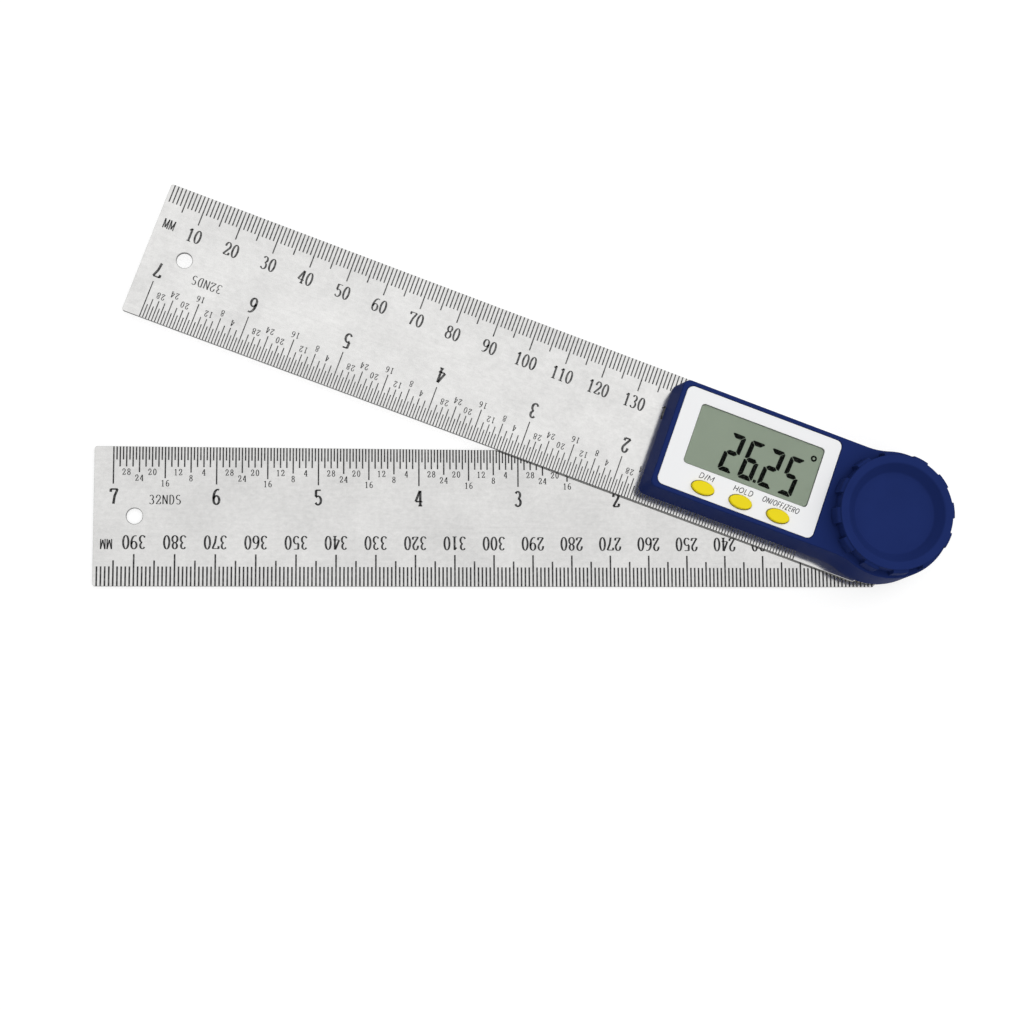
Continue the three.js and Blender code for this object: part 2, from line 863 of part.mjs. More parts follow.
// The display arm with everything that turns with it
function displayArm() {
  const group = new THREE.Group();
  piece(group, "display_rule", displayRule(), steel);
  piece(group, "pivot_bush", pivotBush(), brass);
  piece(group, "housing_shell", housingShell(), blue_plastic);
  piece(group, "face_panel", facePanel(), white_print);
  piece(group, "window_lens", windowLens(), clear_plastic);
  piece(group, "lcd_glass", lcdGlass(), lcd_grey);
  piece(group, "lcd_frame", lcdFrame(), black_plastic);
  piece(group, "zebra_strip", zebraStrip(), grey_rubber);
  piece(group, "circuit_board", circuitBoard(), circuit_green);
  piece(group, "controller_chip", controllerChip(), black_plastic);
  piece(group, "pressure_washer", pressureWasher(), bright_steel);
  const at_cell = [-cell.along, 0, 0];
  piece(group, "battery_holder", batteryHolder(), black_plastic, at_cell);
  piece(group, "coin_cell", coinCell(), bright_steel, at_cell);
  piece(group, "contact_negative", negativeContact(), bright_steel, at_cell);
  piece(group, "contact_positive", positiveContact(), bright_steel, at_cell);
  piece(group, "battery_cap", batteryCap(), black_plastic, at_cell);
  boss_places.forEach((place, index) => {
    piece(group, `housing_screw_${index + 1}`, housingScrew(), bright_steel, place);
  });
  board_post_places.forEach((place, index) => {
    piece(group, `board_screw_${index + 1}`, boardScrew(), bright_steel, place);
  });
  button_names.forEach((name, index) => {
    piece(group, `button_${name}`, buttonKey(), yellow_key, button_places[index]);
    piece(group, `switch_${name}`, tactSwitch(), black_plastic, button_places[index]);
  });
  group.rotation.z = -THREE.MathUtils.degToRad(arm_angle_degrees);
  return group;
}

const angle_finder = new THREE.Group();
angle_finder.add(baseArm(), displayArm());

export default angle_finder;
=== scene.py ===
"""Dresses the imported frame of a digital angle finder: two graduated steel rules joined at a locking
pivot, a moulded housing with a display and three keys, and a lobed knob. Forms are drawn in
millimetres, each along its own arm, and turned into metres in the shared frame by piece()."""
import json
import math
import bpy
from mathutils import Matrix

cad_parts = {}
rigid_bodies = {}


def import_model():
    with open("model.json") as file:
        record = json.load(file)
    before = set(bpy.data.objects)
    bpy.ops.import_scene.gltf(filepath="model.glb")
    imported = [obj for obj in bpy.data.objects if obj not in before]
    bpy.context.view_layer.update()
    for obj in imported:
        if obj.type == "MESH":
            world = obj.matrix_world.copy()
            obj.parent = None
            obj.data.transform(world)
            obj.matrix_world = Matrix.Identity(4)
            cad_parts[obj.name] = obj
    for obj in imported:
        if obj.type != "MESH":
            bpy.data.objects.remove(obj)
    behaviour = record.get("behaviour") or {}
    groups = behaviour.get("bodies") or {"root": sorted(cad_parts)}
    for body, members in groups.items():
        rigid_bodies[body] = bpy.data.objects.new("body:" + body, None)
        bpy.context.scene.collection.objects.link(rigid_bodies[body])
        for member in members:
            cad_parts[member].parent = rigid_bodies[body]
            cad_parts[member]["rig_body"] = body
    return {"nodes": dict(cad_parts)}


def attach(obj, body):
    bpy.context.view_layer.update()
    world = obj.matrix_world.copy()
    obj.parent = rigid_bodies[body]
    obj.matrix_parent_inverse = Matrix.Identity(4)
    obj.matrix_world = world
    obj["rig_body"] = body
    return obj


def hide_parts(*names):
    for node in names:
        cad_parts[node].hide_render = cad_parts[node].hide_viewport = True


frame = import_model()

from types import SimpleNamespace

import bmesh
import bpy
from bpy.props import FloatProperty, FloatVectorProperty, IntProperty, PointerProperty, StringProperty
from mathutils import Matrix, Vector

bl_info = {
    "name": "Digital angle finder",
    "version": (1, 0, 0),
    "blender": (4, 5, 0),
    "location": "3D View > Sidebar > Angle finder",
    "description": "Builds the visible pieces of a digital angle finder round its packed frame",
    "category": "Object",
}

MM = 0.001
INCH = 25.4
ARM_ANGLE = math.radians(20)
BASE_BODIES = ("base_arm", "lock_knob")
PLAY = 0.15  # between parts that are put together
OVERRUN = 1  # how far a cutting form goes past what it cuts
TINY = 1e-6  # a length below this counts as none
FINISH_PREFIX = "finder_"  # keeps these finishes apart from the materials of the frame
PHOTO_PIXELS = 1010
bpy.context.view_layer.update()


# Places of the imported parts

def reach(node):
    """Lowest and highest corner of a CAD node along its own arm, in millimetres."""
    packed = frame["nodes"][node]
    turn = 0 if packed["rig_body"] in BASE_BODIES else ARM_ANGLE
    corners = [Matrix.Rotation(turn, 3, "Z") @ vertex.co / MM for vertex in packed.data.vertices]
    return tuple(Vector(pick(corner[axis] for corner in corners) for axis in range(3)) for pick in (min, max))


def middle(node):
    """Centre of a CAD node seen from above, in millimetres along its own arm."""
    low, high = reach(node)
    return ((low + high) / 2).xy


BASE_TOP = reach("base_rule")[1].z
RULE_REACH = -reach("base_rule")[0].x
RULE_HALF = reach("base_rule")[1].y
DISPLAY_BOTTOM, DISPLAY_TOP = (corner.z for corner in reach("display_rule"))
PANEL_LOW, PANEL_HIGH = reach("face_panel")
LENS_LOW, LENS_HIGH = reach("window_lens")
HOUSING_TOP = reach("housing_shell")[1].z
KNOB_BOTTOM, KNOB_TOP = (corner.z for corner in reach("lock_knob"))
CEILING = LENS_LOW.z
CELL_PLACE = middle("coin_cell")
KEYS = ("mode", "hold", "power")
KEY_LENGTH, KEY_WIDTH, KEY_GAP = 5.95, 3.3, 0.2
KEY_ASIDE = Vector((-0.14, 0.16))  # from the middle of a packed key
HOLE_INSET, HOLE_RADIUS = 10, 2
NOSE_RADIUS, NOSE_CHAMFER = 16.8, 0.7
RULE_CORNER, BROKEN_EDGE = 0.6, 0.12
HUB_FOOT, HUB_SHAFT, BUSH_RADIUS = 7.5, 6, 7.75
SCREW_RADIUS, SCREW_HEAD_RADIUS, SCREW_HEAD_DEPTH = 1.1, 2.1, 1.0
BOARD_SCREW_RADIUS, BOARD_SCREW_HEAD_RADIUS, BOARD_SCREW_HEAD_DEPTH = 0.8, 1.7, 0.7
CAP_RADIUS, CAP_BORE, CAP_TURN = 11.8, 10.3, 45
LUGS, LUG_RADIUS, LUG_HALF = 3, 12.4, 2


# Sizes and colours that a user would change

def position(name, description, millimetres, **limits):
    return FloatProperty(
        name=name, description=description, default=millimetres * MM, unit="LENGTH", precision=5, **limits)


def length(name, description, millimetres):
    return position(name, description, millimetres, min=0)


def turning(name, description, degrees):
    return FloatProperty(name=name, description=description, default=math.radians(degrees), subtype="ANGLE")


def colour(name, description, red, green, blue):
    return FloatVectorProperty(
        name=name, description=description, default=(red, green, blue), min=0, max=1, size=3, subtype="COLOR")


def amount(name, description, value, **limits):
    return FloatProperty(name=name, description=description, default=value, **limits)


class AngleFinderScales(bpy.types.PropertyGroup):
    ink_height: length("Ink height", "How far the printed marks stand above the steel", 0.02)
    line_width: length("Line width", "Width of a graduation line", 0.42)
    inch_line_width: length("Inch line width", "Width of a line of the inch scale", 0.36)
    upper_lines: amount(
        "Upper lines", "Width of the upper rule's lines as a share of the lower rule's", 0.79, min=0.1, max=2)
    millimetre_line: length("Millimetre line", "Length of a millimetre line", 4.9)
    five_line: length("Five line", "Length of every fifth millimetre line", 6.4)
    ten_line: length("Ten line", "Length of every tenth millimetre line", 8)
    number_height: length("Number height", "Height of the millimetre numbers", 3.5)
    number_place: length("Number place", "From the edge to the middle of the millimetre numbers", 10.95)
    inch_number_height: length("Inch number height", "Height of the inch numbers", 4)
    inch_number_place: length("Inch number place", "From the edge to the middle of the inch numbers", 12.55)
    small_number_height: length("Small number height", "Height of the numbers of the thirty-seconds", 1.6)
    unit_height: length("Unit height", "Height of the unit letters", 2.4)
    upper_shift: length("Upper shift", "How far the upper print lies towards its millimetre edge", 0.25)
    inch_start: length("Inch start", "From the pivot to the zero of the inch scale", 17.5)
    inches: IntProperty(name="Inches", description="Length of the inch scale", default=7, min=1, max=7)


class AngleFinderDisplay(bpy.types.PropertyGroup):
    reading: StringProperty(name="Reading", description="Angle that the display shows", default="26.25")
    digit_pitch: length("Digit pitch", "From one digit to the next", 5.42)
    digit_height: length("Digit height", "Height between the middles of a digit's outer bars", 9.2)
    digit_width: length("Digit width", "Width between the middles of a digit's upright bars", 2.85)
    bar_width: length("Bar width", "Width of an upright bar of a digit", 1.17)
    level_bar_width: length("Level bar width", "Width of a level bar of a digit", 1.23)
    bar_gap: length("Bar gap", "From the end of a bar to the corner of its digit", 0.08)
    corner_cut: length("Corner cut", "How far a digit's corners are cut off", 0.6)
    dot_side: length("Dot side", "Width of the decimal point", 0.8)
    digits_middle_x: length("Digits from pivot", "From the pivot to the middle of the last digit", 27.36)
    digits_middle_y: position("Digits above middle", "From the arm's middle to the digits' middle", 0.24)
    lean: amount("Lean", "How far a digit leans for each unit of height", 0.064, min=0, max=1)
    row_turn: turning("Row turn", "How far the row of digits is turned in the window", -1.1)


class AngleFinderKnob(bpy.types.PropertyGroup):
    lobes: IntProperty(name="Lobes", description="Grip lobes round the knob", default=12, min=3, max=24)
    lobe_radius: length("Lobe radius", "Radius over the lobes", 15.7)
    core_radius: length("Core radius", "Radius between the lobes", 14.6)
    lobe_height: length("Lobe height", "Height of a lobe's side", 3.9)
    lobe_draft: length("Lobe draft", "How far a lobe's side leans in over its height", 0.3)
    lobe_turn: turning("Lobe turn", "Angle of the first lobe", 2.5)
    dish_radius: length("Dish radius", "Radius of the dish at the rim", 12.6)
    floor_radius: length("Floor radius", "Radius of the floor of the dish", 10.3)
    dish_depth: length("Dish depth", "Depth of the dish", 2.5)


class AngleFinderFinishes(bpy.types.PropertyGroup):
    steel: colour("Steel", "Satin steel of the rules", 0.78, 0.775, 0.765)
    steel_shade: colour("Steel shade", "Darker clouds in the steel", 0.62, 0.617, 0.61)
    # Side-face colour of the rules: rougher sheared steel, darkened further as painted shade for the shadow
    # along an edge and in the gap beneath it.
    cut_edge: colour("Cut edge", "Sheared edges of the rules", 0.22, 0.22, 0.22)
    ink: colour("Ink", "Printed marks", 0.025, 0.025, 0.026)
    blue: colour("Blue plastic", "Moulded housing and knob", 0.0135, 0.027, 0.128)
    white: colour("Panel", "White front panel", 0.91, 0.915, 0.925)
    label: colour("Label", "Grey lettering of the keys", 0.02, 0.02, 0.022)
    display: colour("Display", "Grey-green of the display", 0.3, 0.338, 0.278)
    segment: colour("Segment", "Dark bars of the display", 0.003, 0.0035, 0.003)
    yellow: colour("Key", "Yellow keys", 0.88, 0.72, 0.006)
    brass: colour("Brass", "Turned brass", 0.62, 0.42, 0.12)
    black: colour("Black plastic", "Cap, holder and frame", 0.012, 0.012, 0.014)
    slip: colour("Slip plastic", "Disc between the rules", 0.7, 0.69, 0.62)
    green: colour("Circuit board", "Board and sensor plate", 0.012, 0.1, 0.045)
    rubber: colour("Rubber", "Contact strip", 0.16, 0.165, 0.18)


class AngleFinderStage(bpy.types.PropertyGroup):
    sky: amount("Sky", "Strength of the soft light from overhead", 1.62, min=0, max=2)
    horizon: amount("Horizon", "Strength of the light from the sides", 0.1, min=0, max=2)
    key_power: amount(
        "Key light", "Strength of the soft light from the upper right", 1.7, min=0, max=50, unit="POWER")
    floor_white: amount("Floor white", "Albedo of the floor", 0.5, min=0, max=1, subtype="FACTOR")
    floor_lift: amount(
        "Floor lift", "Whiteness of the floor as the camera, metal and glass see it", 0.62, min=0, max=1)


GROUPS = {
    "finder_scales": AngleFinderScales,
    "finder_display": AngleFinderDisplay,
    "finder_knob": AngleFinderKnob,
    "finder_finishes": AngleFinderFinishes,
    "finder_stage": AngleFinderStage,
}


def settings(name):
    """The values of a property group, its lengths in millimetres."""
    group = getattr(bpy.context.scene, name)
    values = {}
    for entry in group.bl_rna.properties:
        if entry.identifier not in ("rna_type", "name"):
            value = getattr(group, entry.identifier)
            values[entry.identifier] = value / MM if getattr(entry, "unit", "NONE") == "LENGTH" else value
    return SimpleNamespace(**values)


# Outlines, as lists of points seen from above and listed anticlockwise

def arc(x, y, radius, start, end, steps):
    angles = [math.radians(start + (end - start) * step / steps) for step in range(steps + 1)]
    return [Vector((x + radius * math.cos(angle), y + radius * math.sin(angle))) for angle in angles]


def circle(radius, steps=96, x=0, y=0):
    return arc(x, y, radius, 0, 360, steps)[:-1]


def oval(length_over, width_over, steps=64):
    return [Vector((point.x * length_over / 2, point.y * width_over / 2)) for point in circle(1, steps)]


def rounded_box(left, right, low, high, radius, steps=8):
    corners = (
        (right, high, -1, -1, 0), (left, high, 1, -1, 90), (left, low, 1, 1, 180), (right, low, -1, 1, 270))
    return [point for x, y, across, along, start in corners
            for point in arc(x + across * radius, y + along * radius, radius, start, start + 90, steps)]


def grow(outline, distance):
    """The outline moved outward, its corners mitred."""
    grown = []
    for index, point in enumerate(outline):
        before = (point - outline[index - 1]).normalized()
        after = (outline[(index + 1) % len(outline)] - point).normalized()
        outward = Vector((before.y + after.y, -before.x - after.x))
        grown.append(point + outward * distance / (1 + before.dot(after)))
    return grown


def shifted(outline, place):
    return [point + place for point in outline]


def soften(points, radius, steps=4, closed=False):
    """A line of points with its corners rounded over."""
    points = [Vector(point) for point in points]
    softened = []
    for index, point in enumerate(points):
        if not closed and index in (0, len(points) - 1):
            softened.append(point)
            continue
        before = points[index - 1] - point
        after = points[(index + 1) % len(points)] - point
        room = min(radius, before.length * 0.49, after.length * 0.49)
        start, end = point + before.normalized() * room, point + after.normalized() * room
        for step in range(steps + 1):
            share = step / steps
            softened.append(start.lerp(point, share).lerp(point.lerp(end, share), share))
    return softened


# Closed bodies, as meshes in millimetres

def finished(form):
    bmesh.ops.recalc_face_normals(form, faces=form.faces)
    mesh = bpy.data.meshes.new("form")
    form.to_mesh(mesh)
    form.free()
    return mesh


def loft(sections):
    """A body through level outlines of equal point count, from the lowest to the highest."""
    form = bmesh.new()
    rings = [[form.verts.new((point.x, point.y, height)) for point in outline]
             for outline, height in sections]
    for low, high in zip(rings, rings[1:]):
        for index in range(len(low)):
            after = (index + 1) % len(low)
            form.faces.new((low[index], low[after], high[after], high[index]))
    form.faces.new(rings[0][::-1])
    form.faces.new(rings[-1])
    return finished(form)


def rounded_edge(outline_at, level, radius, side, steps=4):
    """Sections that round an edge over: side is 1 for an upper edge and -1 for a lower one."""
    if not radius:
        return [(outline_at(0), level)]
    turns = [math.pi / 2 * step / steps for step in range(steps + 1)]
    sections = [(outline_at(radius * (1 - math.cos(turn))), level + side * radius * (math.sin(turn) - 1))
                for turn in turns]
    return sections[::side]


def prism(outline, low, high, low_edge=0, high_edge=0):
    """An upright body of one outline, its lower and upper edges rounded over."""
    def inset(distance):
        return grow(outline, -distance)

    return loft(rounded_edge(inset, low, low_edge, -1) + rounded_edge(inset, high, high_edge, 1))


def rod(radius, low, high, place=(0, 0), facets=48):
    return prism(circle(radius, facets, *place), low, high)


def lathe(profile, facets=128, place=(0, 0)):
    """A body turned about an upright axis from (radius, height) points, a ring if they stay off the axis."""
    form = bmesh.new()
    rows = []
    for radius, height in profile:
        around = circle(radius, facets) if radius > TINY else [Vector((0, 0))]
        rows.append([form.verts.new((point.x + place[0], point.y + place[1], height)) for point in around])
    pairs = list(zip(rows, rows[1:]))
    if len(rows[0]) > 1 and len(rows[-1]) > 1:
        pairs.append((rows[-1], rows[0]))
    for row, following in pairs:
        for index in range(facets):
            after = (index + 1) % facets
            corners = [row[index % len(row)], row[after % len(row)],
                       following[after % len(following)], following[index % len(following)]]
            form.faces.new(list(dict.fromkeys(corners)))
    return finished(form)


def combine(base, tools, operation="DIFFERENCE"):
    """The base body with others cut out (DIFFERENCE), joined on (UNION) or kept in common (INTERSECT)."""
    scene = bpy.context.scene
    host = bpy.data.objects.new("host", base)
    bench = bpy.data.collections.new("bench")
    scene.collection.objects.link(host)
    scene.collection.children.link(bench)
    for tool in tools:
        bench.objects.link(bpy.data.objects.new("tool", tool))
    step = host.modifiers.new("step", "BOOLEAN")
    step.operation, step.solver = operation, "EXACT"
    step.operand_type, step.collection = "COLLECTION", bench
    made = bpy.data.meshes.new_from_object(host.evaluated_get(bpy.context.evaluated_depsgraph_get()))
    for used in [host, *bench.objects]:
        bpy.data.objects.remove(used)
    bpy.data.collections.remove(bench)
    if not made.polygons:
        raise RuntimeError(f"{operation} left nothing of {base.name}")
    return made


def joined(meshes):
    """Bodies that don't touch, as one mesh."""
    form = bmesh.new()
    for mesh in meshes:
        form.from_mesh(mesh)
    made = bpy.data.meshes.new("form")
    form.to_mesh(made)
    form.free()
    return made


def piece(name, mesh, finish, body, *stands_for, sharp_degrees=35):
    """A visible piece that rides on a body, moved from its arm's millimetres into the shared frame."""
    mesh.name = name
    turn = 0 if body in BASE_BODIES else -ARM_ANGLE
    mesh.transform(Matrix.Scale(MM, 4) @ Matrix.Rotation(turn, 4, "Z"))
    mesh.materials.clear()
    mesh.materials.append(finish_of(finish))
    mesh.shade_smooth()
    mesh.set_sharp_from_angle(angle=math.radians(sharp_degrees))
    made = bpy.data.objects.new(name, mesh)
    bpy.context.scene.collection.objects.link(made)
    made.modifiers.new("even_normals", "WEIGHTED_NORMAL").keep_sharp = True
    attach(made, body)
    if stands_for:
        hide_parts(*stands_for)


# Finishes

class Wire:
    """A shader socket that takes part in Python expressions, each of which adds a Math node."""

    def __init__(self, finish, socket):
        self.finish, self.socket = finish, socket

    def math(self, operation, *values):
        return self.finish.node("Math", {"operation": operation}, dict(enumerate(values)))

    def __add__(self, other):
        return self.math("ADD", self, other)

    def __sub__(self, other):
        return self.math("SUBTRACT", self, other)

    def __rsub__(self, other):
        return self.math("SUBTRACT", other, self)

    def __mul__(self, other):
        return self.math("MULTIPLY", self, other)

    def __pow__(self, other):
        return self.math("POWER", self, other)

    __radd__, __rmul__ = __add__, __mul__

    def toward(self, target, share):
        return self + (target - self) * share

    def above(self, level, softness):
        """A mask of what rises above a level, from 0 to 1 over the softness."""
        return self.finish.node("MapRange", {}, {0: self, 1: level - softness, 2: level + softness})


class Finish:
    """A material, or the world, built from nodes."""

    def __init__(self, name, owner=None):
        self.owner = owner or bpy.data.materials.new(FINISH_PREFIX + name)
        self.owner.use_nodes = True
        self.tree = self.owner.node_tree
        self.tree.nodes.clear()

    def node(self, kind, choices=None, sockets=None, result=0):
        """A shader node: its type, its settings, and the values or wires of its sockets."""
        made = self.tree.nodes.new("ShaderNode" + kind)
        for name, value in (choices or {}).items():
            setattr(made, name, value)
        for name, value in (sockets or {}).items():
            if isinstance(value, Wire):
                self.tree.links.new(value.socket, made.inputs[name])
            else:
                made.inputs[name].default_value = value
        return Wire(self, made.outputs[result])

    def mix(self, low, high, mask):
        """From one colour to another."""
        low, high = ((*tone, 1) if not isinstance(tone, Wire) else tone for tone in (low, high))
        return self.node("Mix", {"data_type": "RGBA"}, {0: mask, 6: low, 7: high}, result=2)

    def noise(self, size, stretch=(1, 1, 1), detail=3.0, roughness=0.5, turn=0.0):
        """Noise in patches of a size in millimetres, longer where stretch is below 1, along a turned arm."""
        place = self.node("TexCoord", result="Object")
        if turn:
            place = self.node("VectorRotate", {"rotation_type": "Z_AXIS"}, {"Vector": place, "Angle": turn})
        spread = self.node("VectorMath", {"operation": "MULTIPLY"}, {0: place, 1: stretch})
        return self.node("TexNoise", {}, {
            "Vector": spread, "Scale": 1 / (size * MM), "Detail": detail, "Roughness": roughness})

    def bump(self, height, depth):
        """Relief of a depth in millimetres."""
        return self.node("Bump", {}, {"Height": height, "Distance": depth * MM, "Strength": 1.0})

    def principled(self, base, **sockets):
        named = {name.replace("_", " "): value for name, value in sockets.items()}
        base = base if isinstance(base, Wire) else (*base, 1)
        return self.node("BsdfPrincipled", {}, {"Base Color": base, **named})

    def rays(self):
        """Masks of the camera's own rays and of those that metal and glass send on."""
        kinds = ("Camera", "Glossy", "Transmission")
        return [self.node("LightPath", result=f"Is {kind} Ray") for kind in kinds]

    def close(self, shader, output="OutputMaterial"):
        out = self.tree.nodes.new("ShaderNode" + output)
        self.tree.links.new(shader.socket, out.inputs["Surface"])
        return self.owner


def scaled(tone, factor):
    return tuple(min(1.0, channel * factor) for channel in tone)


def satin_steel(name, tones, lightness=1.0, turn=0.0):
    """Rolled stainless steel: clouds, fine mottling, lengthwise grain and a few long scratches, with painted
    shade on its side faces.
    """
    steel = Finish(name)
    clouds = steel.noise(14, detail=4.0, roughness=0.6)
    mottle = steel.noise(1.1, stretch=(0.8, 1, 1), detail=4.0, roughness=0.65, turn=turn)
    grain = steel.noise(0.5, stretch=(0.06, 1, 1), detail=2.0, turn=turn)
    scratches = steel.noise(1.6, stretch=(0.02, 1, 1), detail=4.0, turn=turn).above(0.68, 0.03)
    tone = (clouds - 0.5) * 1.3 + (mottle - 0.5) * 1.3 + (grain - 0.5) * 0.35 + 0.5 - scratches * 0.15
    upright = steel.node("SeparateXYZ", {}, {"Vector": steel.node("TexCoord", result="Normal")}, result="Z")
    face = upright.math("ABSOLUTE", upright).above(0.5, 0.3)
    # This factor scales the steel's colour: painted light that makes one rule brighter than the other.
    base = steel.mix(scaled(tones.steel_shade, lightness), scaled(tones.steel, lightness), tone)
    # Side faces take the darker edge colour: partly sheared steel, partly painted shade.
    base = steel.mix(tones.cut_edge, base, face)
    roughness = 0.07 + clouds * 0.03 + mottle * 0.03 + grain * 0.03 + (1 - face) * 0.8
    normal = steel.bump(grain * 0.7 - scratches * 0.5, 0.002)
    return steel.close(steel.principled(base, Metallic=1.0, Roughness=roughness, Normal=normal))


def bright_steel(name, tones):
    """Machined and plated steel with fine turning marks."""
    steel = Finish(name)
    marks = steel.noise(0.35, stretch=(1, 1, 0.2), detail=3.0)
    base = steel.mix(scaled(tones.steel, 0.8), tones.steel, marks)
    return steel.close(steel.principled(
        base, Metallic=1.0, Roughness=0.2 + marks * 0.15, Normal=steel.bump(marks, 0.004)))


def turned_brass(name, tones):
    brass = Finish(name)
    marks = brass.noise(0.5, stretch=(0.3, 0.3, 1), detail=3.0)
    base = brass.mix(scaled(tones.brass, 0.8), scaled(tones.brass, 1.1), marks)
    return brass.close(brass.principled(
        base, Metallic=1.0, Roughness=0.25 + marks * 0.2, Normal=brass.bump(marks, 0.004)))


def moulded(name, tones, tone, roughness, gloss, grain_size, grain_depth, variation):
    """Moulded plastic: fine mould grain, with slow changes in colour and gloss."""
    tone = getattr(tones, tone)
    plastic = Finish(name)
    grain = plastic.noise(grain_size, detail=2.0)
    clouds = plastic.noise(9, detail=3.0)
    base = plastic.mix(scaled(tone, 1 - variation), scaled(tone, 1 + variation), clouds)
    sheen = roughness - 0.05 + clouds * 0.06 + grain * 0.04
    return plastic.close(plastic.principled(
        base, Roughness=sheen, Specular_IOR_Level=gloss, Normal=plastic.bump(grain, grain_depth)))


def printed_ink(name, tones, wear_level):
    """Ink in the graduations, a little worn where it is thin."""
    ink = Finish(name)
    wear = ink.noise(0.7, detail=4.0, roughness=0.65).above(wear_level, 0.14)
    base = ink.mix(tones.ink, scaled(tones.steel, 0.4), wear * 0.6)
    return ink.close(ink.principled(base, Roughness=0.5 + wear * 0.2, Specular_IOR_Level=0.2))


def display_glass(name, tones):
    """Reflective liquid crystal behind glass: a fine foil grain in grey-green."""
    glass = Finish(name)
    foil = glass.noise(0.14, detail=2.0)
    clouds = glass.noise(14, detail=2.0)
    tone = (foil - 0.5) * 0.7 + clouds
    base = glass.mix(scaled(tones.display, 0.93), scaled(tones.display, 1.07), tone)
    return glass.close(glass.principled(base, Roughness=0.45 + foil * 0.1, Specular_IOR_Level=0.15))


def clear_window(name, tones):
    """Clear plastic: its gloss comes from the angle it is seen at."""
    window = Finish(name)
    ripple = window.noise(9, detail=2.0)
    edge_on = window.node("LayerWeight", {}, {"Blend": 0.5}, result="Facing")
    gloss = edge_on ** 5 * 0.9 + 0.002
    surface = window.principled((0.9, 0.93, 0.9), Roughness=0.04 + ripple * 0.03, Specular_IOR_Level=0.5,
                                Metallic=1.0, Normal=window.bump(ripple, 0.002))
    clear = window.node("BsdfTransparent", {}, {"Color": (0.97, 0.985, 0.97, 1)})
    return window.close(window.node("MixShader", {}, {0: gloss, 1: clear, 2: surface}))


def circuit_laminate(name, tones):
    """Green laminate: woven glass under the lacquer, with copper tracks showing through."""
    board = Finish(name)
    weave = board.noise(0.4, stretch=(1, 0.3, 1), detail=2.0)
    tracks = board.noise(2.2, stretch=(0.25, 1, 1), detail=1.0).above(0.53, 0.01)
    base = board.mix(scaled(tones.green, 0.8), scaled(tones.green, 1.9), tracks * 0.7 + weave * 0.3)
    relief = board.bump(tracks + weave * 0.3, 0.02)
    return board.close(board.principled(base, Roughness=0.34 + weave * 0.1, Normal=relief))


FINISHES = {
    "satin_steel": (satin_steel, {}),
    # Painted light: the upper rule is the same steel as the lower one, painted a tenth lighter to stand in
    # for brighter light on it.
    "satin_steel_upper": (satin_steel, {"lightness": 1.1, "turn": ARM_ANGLE}),
    "bright_steel": (bright_steel, {}),
    "turned_brass": (turned_brass, {}),
    "printed_ink": (printed_ink, {"wear_level": 0.62}),
    "printed_ink_upper": (printed_ink, {"wear_level": 0.52}),
    "display_glass": (display_glass, {}),
    "clear_window": (clear_window, {}),
    "circuit_laminate": (circuit_laminate, {}),
}
MOULDED_CHOICES = ("tone", "roughness", "gloss", "grain_size", "grain_depth", "variation")
MOULDINGS = (
    ("blue_plastic", "blue", 0.5, 0.008, 0.12, 0.004, 0.12),
    ("white_panel", "white", 0.4, 0.3, 0.3, 0.002, 0.012),
    ("label_ink", "label", 0.5, 0.2, 0.3, 0.002, 0.2),
    ("display_segment", "segment", 0.6, 0.02, 0.3, 0.001, 0.1),
    ("yellow_plastic", "yellow", 0.45, 0.15, 0.15, 0.003, 0.05),
    ("black_plastic", "black", 0.5, 0.4, 0.18, 0.008, 0.2),
    ("slip_plastic", "slip", 0.5, 0.3, 0.5, 0.003, 0.05),
    ("contact_rubber", "rubber", 0.75, 0.2, 0.3, 0.01, 0.15),
)
FINISHES.update({name: (moulded, dict(zip(MOULDED_CHOICES, choices))) for name, *choices in MOULDINGS})


def finish_of(name):
    """The named finish, made when it is first asked for."""
    made = bpy.data.materials.get(FINISH_PREFIX + name)
    if not made:
        maker, choices = FINISHES[name]
        made = maker(name, settings("finder_finishes"), **choices)
    return made


# Lettering: a broad pen whose upright strokes are heavy and whose level strokes are fine

def bowl(x, y, half_width, half_height, start, end, steps=14):
    around = arc(0, 0, 1, start, end, steps)
    return [(x + half_width * point.x, y + half_height * point.y) for point in around]


